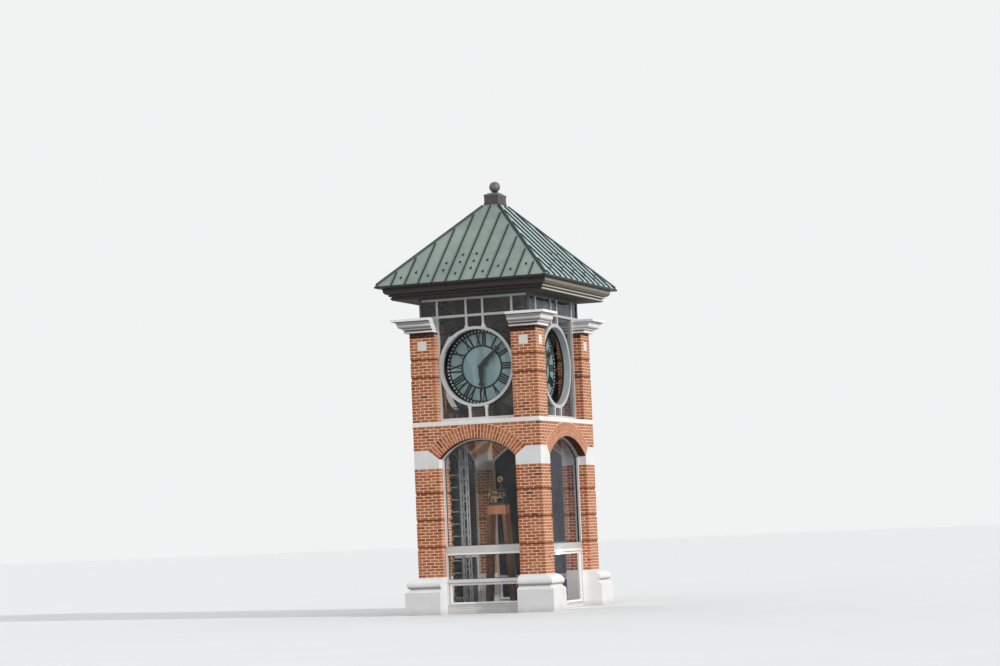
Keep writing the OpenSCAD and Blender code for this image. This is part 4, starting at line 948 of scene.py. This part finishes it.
# Trim.
class Trim:
    """Gathers small shaped parts of one finish into one mesh."""

    def __init__(self):
        self.points = []
        self.faces = []

    def add(self, points, faces):
        start = len(self.points)
        self.points += [tuple(p) for p in points]
        self.faces += [[start + k for k in face] for face in faces]

    def bar(self, wall, u0, u1, z0, z1, near, far, edge=0.0015):
        """A bar on a wall, from depth near to depth far, with eased front edges."""
        self.add(*eased(wall, box_outline(u0, u1, z0, z1), near, far, edge))

    def uprights(self, wall, mid, reach, width, z0, z1, near, far):
        """A bar at each side of an opening."""
        for s in (-1, 1):
            u0, u1 = sorted((mid + s * reach, mid + s * (reach - width)))
            self.bar(wall, u0, u1, z0, z1, near, far)

    def border(self, wall, mid, reach, width, z0, z1, near, far):
        """Four bars round a pane."""
        self.bar(wall, mid - reach, mid + reach, z0, z0 + width, near, far)
        self.bar(wall, mid - reach, mid + reach, z1 - width, z1, near, far)
        self.uprights(wall, mid, reach, width, z0 + width, z1 - width, near, far)

    def strip(self, wall, line, width, near, far):
        """A flat strip of even width that follows a line on a wall, drawn in to the line's left."""
        self.add(*loft([section(wall, a, b, near, far) for a, b in zip(line, offset(line, width))]))

    def plate(self, corner, along, up, thick):
        """A thin box, given by one corner and the three edges that meet there."""
        rings = [[base, base + along, base + along + up, base + up] for base in (corner, corner + thick)]
        self.add(*loft(rings, inside_out=along.cross(up).dot(thick) > 0))

    def piece(self, name, finish, slot):
        made = new_object(name, self.points, self.faces, finish)
        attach(made, TOWER)


def unit_left(d):
    size = math.hypot(*d) or 1.0
    return (-d[1] / size, d[0] / size)


def offset(line, by):
    """A line moved to its left by the same amount."""
    made = []
    for k, (u, z) in enumerate(line):
        a, b = line[max(0, k - 1)], line[min(len(line) - 1, k + 1)]
        before = (u - a[0], z - a[1]) if k else (b[0] - u, b[1] - z)
        after = (b[0] - u, b[1] - z) if k < len(line) - 1 else before
        n1, n2 = unit_left(before), unit_left(after)
        mid = (n1[0] + n2[0], n1[1] + n2[1])
        size = math.hypot(*mid) or 1.0
        mid = (mid[0] / size, mid[1] / size)
        grow = by / max(0.4, mid[0] * n1[0] + mid[1] * n1[1])
        made.append((u + mid[0] * grow, z + mid[1] * grow))
    return made


def arch_line(half, mid, inset, low, steps=32):
    """The outline of an arched opening drawn in by inset, from its lower right corner round to its lower left."""
    radius, centre = arch_radius(half) - inset, arch_centre(half)
    reach = half - inset
    lean = math.asin(reach / radius)
    turns = [lean - 2 * lean * k / steps for k in range(steps + 1)]
    arc = [(mid + radius * math.sin(turn), centre + radius * math.cos(turn)) for turn in turns]
    return [(mid + reach, low)] + arc + [(mid - reach, low)]


def pane_gaskets():
    """Black rubber round every pane of the lower windows, and along the arched heads of their frames."""
    m = Trim()
    near, far = FRAME_MIDDLE - GASKET_HALF, FRAME_MIDDLE + GASKET_HALF
    for face, wall, half, mid in SIDES:
        side = half - FRAME_FACE
        for z0, z1 in PANES[face]:
            if z1 is None:
                m.strip(wall, arch_line(half, mid, FRAME_FACE, z0), GASKET_FACE, near, far)
                m.bar(wall, mid - side, mid + side, z0, z0 + GASKET_FACE, near, far)
                head = arch_line(half, mid, FRAME_FACE - HEAD_IN, z0)[1:-1]
                m.strip(wall, head, HEAD_FACE, REVEAL - HEAD_PROUD, ROOT)
            else:
                m.border(wall, mid, side, GASKET_FACE, z0, z1, near, far)
    m.piece("pane_gaskets", RUBBER, "aluminium")


def kick_boards():
    """Stepped boards over the bottom panel of the front and rear frames, and a single one at the sides."""
    m = Trim()
    for face, wall, half, mid in SIDES:
        boards = 3 if face in ("front", "rear") else 1
        tall = (PANES[face][0][0] - BOARD_BELOW - BOARD_CLEAR) / boards
        reach = half - BOARD_CLEAR
        for k in range(boards):
            z0, near = BOARD_CLEAR + k * tall, REVEAL - BOARD_PROUD + BOARD_STEP * k
            m.bar(wall, mid - reach, mid + reach, z0, z0 + tall - BOARD_GAP, near, ROOT, BOARD_EDGE)
    m.piece("kick_boards", KICK, "aluminium")


def frame_beads():
    """Raised beads on the rails and jambs of the lower frames, and the sash inside the lowest panes."""
    m = Trim()
    near = REVEAL - BEAD_IN
    for face, wall, half, mid in SIDES:
        for k, (z0, z1) in enumerate(PANES[face]):
            if z1 is None:
                m.strip(wall, arch_line(half, mid, BEAD_IN, z0 + BEAD_IN), BEAD_FACE, near, ROOT)
                continue
            m.uprights(wall, mid, half - BEAD_IN, BEAD_FACE, z0 - 0.004, z1, near, ROOT)
            if k == 0:
                m.border(wall, mid, half - FRAME_FACE - GASKET_FACE, SASH_FACE, z0 + GASKET_FACE, z1 - GASKET_FACE,
                         REVEAL + SASH_IN, REVEAL + FRAME_DEEP - SASH_IN)
    # The beads take a near-white painted highlight.
    m.piece("frame_beads", BEAD_HIGHLIGHT, "aluminium")


class Slope:
    """A slope of the roof: the middle of its foot, the ways along it, up it and off it, and its sizes."""

    def __init__(self, index):
        sideways = index % 2
        out = WALLS[index].outward
        self.along = WALLS[index].along
        self.half = ROOF_HALF[sideways]
        self.narrow = VENT_HALF[sideways]
        self.step = SEAM_STEP[sideways]
        self.foot = out * ROOF_HALF[1 - sideways] + Vector((0, 0, ROOF_EDGE_Z))
        rise = out * VENT_HALF[1 - sideways] + Vector((0, 0, top("roof_deck"))) - self.foot
        self.long = rise.length
        self.up = rise.normalized()
        self.off = self.along.cross(self.up).normalized()

    def at(self, u, run, lift=0.0):
        return self.foot + self.along * u + self.up * run + self.off * lift


SLOPES = [Slope(index) for index in range(4)]


def snow_guard(m, slope, u, run):
    """A fixing strip with a curved upright paddle at its lower end."""
    corner = slope.at(u - STRIP_W / 2, run - STRIP_LAP)
    m.plate(corner, slope.along * STRIP_W, slope.up * STRIP_H, slope.off * STRIP_T)
    rings = []
    for a, b, tall in PADDLE:
        steps = ((b, 0.0), (b, tall), (b + PADDLE_T, tall), (b + PADDLE_T, 0.0))
        rings.append([slope.at(u + a, run + up, lift) for up, lift in steps])
    m.add(*loft(rings))


def snow_guards():
    """Small stops screwed to the pans in two staggered rows, with two short rows above the middle."""
    m = Trim()
    for slope in SLOPES:
        pans = int(slope.half / slope.step)
        for k in range(-pans, pans):
            u = (k + 0.5) * slope.step
            for run in [GUARD_RUNS[k % 2]] + [run for run, reach in GUARD_SHORT if -reach <= k < reach]:
                if abs(u) <= slope.half - run * HIP_TAPER - HIP_ROOM:
                    snow_guard(m, slope, u, run)
    m.piece("snow_guards", SEAM_SHADE_AND_GUARDS, "roof_metal")


def seam_lines():
    """Dark strips of painted shade along both sides of every seam, and the folded tail that carries them to the edge.
    """
    m = Trim()
    for slope in SLOPES:
        reach = slope.half - HIP_CLEAR
        seams = int((slope.half - HIP_W) / slope.step)
        for k in range(-seams, seams + 1):
            u = k * slope.step
            share = (reach - abs(u)) / (reach - slope.narrow + HIP_CLEAR / 2)
            rise = slope.up * (min(1.0, share) * (slope.long - HIP_W) - SEAM_FOOT)
            for s in (-1, 1):
                corner = slope.at(u + s * SEAM_T / 2, SEAM_FOOT)
                m.plate(corner, slope.along * (s * SHADE_STRIP_W), rise, slope.off * SHADE_STRIP_T)
            m.plate(slope.at(u - TAIL / 2, TAIL_T), slope.along * TAIL, slope.up * TAIL, slope.off * TAIL_T)
    m.piece("seam_lines", SEAM_SHADE_AND_GUARDS, "roof_metal")


def drip_edge():
    """A folded hem along the foot of every slope."""
    m = Trim()
    low, high = foot("roof_deck"), ROOF_EDGE_Z
    hem = ((-0.030, high + 0.012), (-0.030, low - 0.004), (-0.002, low - 0.004), (-0.0008, low + 0.004),
           (-0.0008, high - 0.006), (-0.006, high + 0.001))
    x, y = ROOF_HALF
    m.add(*loft([[(sx * (x + out), sy * (y + out), z) for out, z in hem]
                 for sx, sy in ((-1, -1), (1, -1), (1, 1), (-1, 1))], closed=True))
    m.piece("drip_edge", HEM, "roof_metal")


def drum_liners():
    """A dark ring round the rear of each drum's bore, where the glazing meets it."""
    m = Trim()
    for index, (face, wall, half, mid) in enumerate(SIDES):
        bore = (top("drum_" + face) - foot("drum_" + face)) / 2 - DRUM_WALL[index % 2]
        rings = []
        for k in range(DRUM_STEPS):
            a = 2 * math.pi * k / DRUM_STEPS
            inner, outer = [(mid + r * math.cos(a), DIAL_Z + r * math.sin(a))
                            for r in (bore - LINER_FACE, bore + LINER_BACK)]
            rings.append(section(wall, inner, outer, DRUM_REAR - LINER_DEEP, DRUM_REAR - LINER_CLEAR))
        m.add(*loft(rings, closed=True, inside_out=True))
    m.piece("drum_liners", RUBBER, "aluminium")


def minute_lights():
    """Opal inlays that fill the minute band of each dial almost to its front."""
    m = Trim()
    for face, wall, half, mid in SIDES:
        radius = (top("dial_" + face) - foot("dial_" + face)) / 2 - MINUTE_IN
        for k in range(MINUTES):
            a = 2 * math.pi * (k + 0.5) / MINUTES
            corners = []
            for p, q in box_outline(-MINUTE_HALF, MINUTE_HALF, radius - MINUTE_HALF, radius + MINUTE_HALF):
                corners.append((mid + p * math.cos(a) + q * math.sin(a), DIAL_Z - p * math.sin(a) + q * math.cos(a)))
            m.add(*loft([[wall.at(u, DIAL_IN + deep, z) for u, z in corners] for deep in MINUTE_DEEP]))
    m.piece("minute_lights", MINUTE_OPAL, "opal_glass")


pane_gaskets()
kick_boards()
frame_beads()
snow_guards()
seam_lines()
drip_edge()
drum_liners()
minute_lights()


# Floor, lamps and air.
def stage_floor(half=300):
    f = Finish("pale_floor", Roughness=0.9, Specular_IOR_Level=0.1)
    seen = f.mix(f.grain(0.4, 3.0), (0.72, 0.72, 0.71, 1), (0.76, 0.76, 0.75, 1))
    bounce = f.node("LightPath", out="Is Diffuse Ray")
    f.set("Base Color", f.mix(bounce, seen, (0.28, 0.27, 0.26, 1)))
    corners = [(x, y, 0) for x, y in box_outline(-half, half, -half, half)]
    floor = new_object("pale_floor", corners, [(0, 1, 2, 3)], f)


def lamp(name, kind, energy, aim, at=(0, 0, 0), **settings):
    data = bpy.data.lights.new(name, kind)
    data.energy = energy
    for key, value in settings.items():
        setattr(data, key, value)
    made = bpy.data.objects.new(name, data)
    made.location = at
    made.rotation_euler = Vector(aim).to_track_quat("-Z", "Y").to_euler()
    bpy.context.scene.collection.objects.link(made)
    return made


def studio_air():
    """Cool light for the tower, and a paler backdrop for the camera, reflections and glass."""
    world = bpy.data.worlds.new("studio")
    bpy.context.scene.world = world
    world.use_nodes = True
    tree = world.node_tree
    tree.nodes.clear()
    path = tree.nodes.new("ShaderNodeLightPath")
    mix = tree.nodes.new("ShaderNodeMixShader")
    out = tree.nodes.new("ShaderNodeOutputWorld")
    for socket, colour, strength in ((1, (0.92, 0.96, 1.0, 1), 0.86), (2, (0.93, 0.935, 0.94, 1), 0.95)):
        air = tree.nodes.new("ShaderNodeBackground")
        air.inputs[0].default_value = colour
        air.inputs[1].default_value = strength
        tree.links.new(air.outputs[0], mix.inputs[socket])
    rays = path.outputs["Is Camera Ray"]
    for kind in ("Is Glossy Ray", "Is Transmission Ray"):
        either = tree.nodes.new("ShaderNodeMath")
        either.operation = "MAXIMUM"
        tree.links.new(rays, either.inputs[0])
        tree.links.new(path.outputs[kind], either.inputs[1])
        rays = either.outputs[0]
    tree.links.new(rays, mix.inputs[0])
    tree.links.new(mix.outputs[0], out.inputs[0])


stage_floor()
studio_air()
lamp("key", "SUN", 2.15, (-0.88, 0.30, -0.37), angle=0.03, color=(1.0, 0.985, 0.965))
lamp("back", "SUN", 0.35, (0.7, -0.7, -0.5), angle=0.6, color=(0.94, 0.97, 1.0))

for name, energy, aim, at in (("room", 22, (-1.0, 1.2, -0.1), (0.35, -1.38, 2.1)),
                              ("room_right", 17, (0.15, 1.0, -0.1), (1.2, -0.5, 1.0))):
    inside = lamp(name, "AREA", energy, aim, at, size=0.6, color=(1.0, 0.98, 0.95))
    inside.visible_camera = inside.visible_glossy = False

bpy.context.scene.view_settings.view_transform = "Standard"
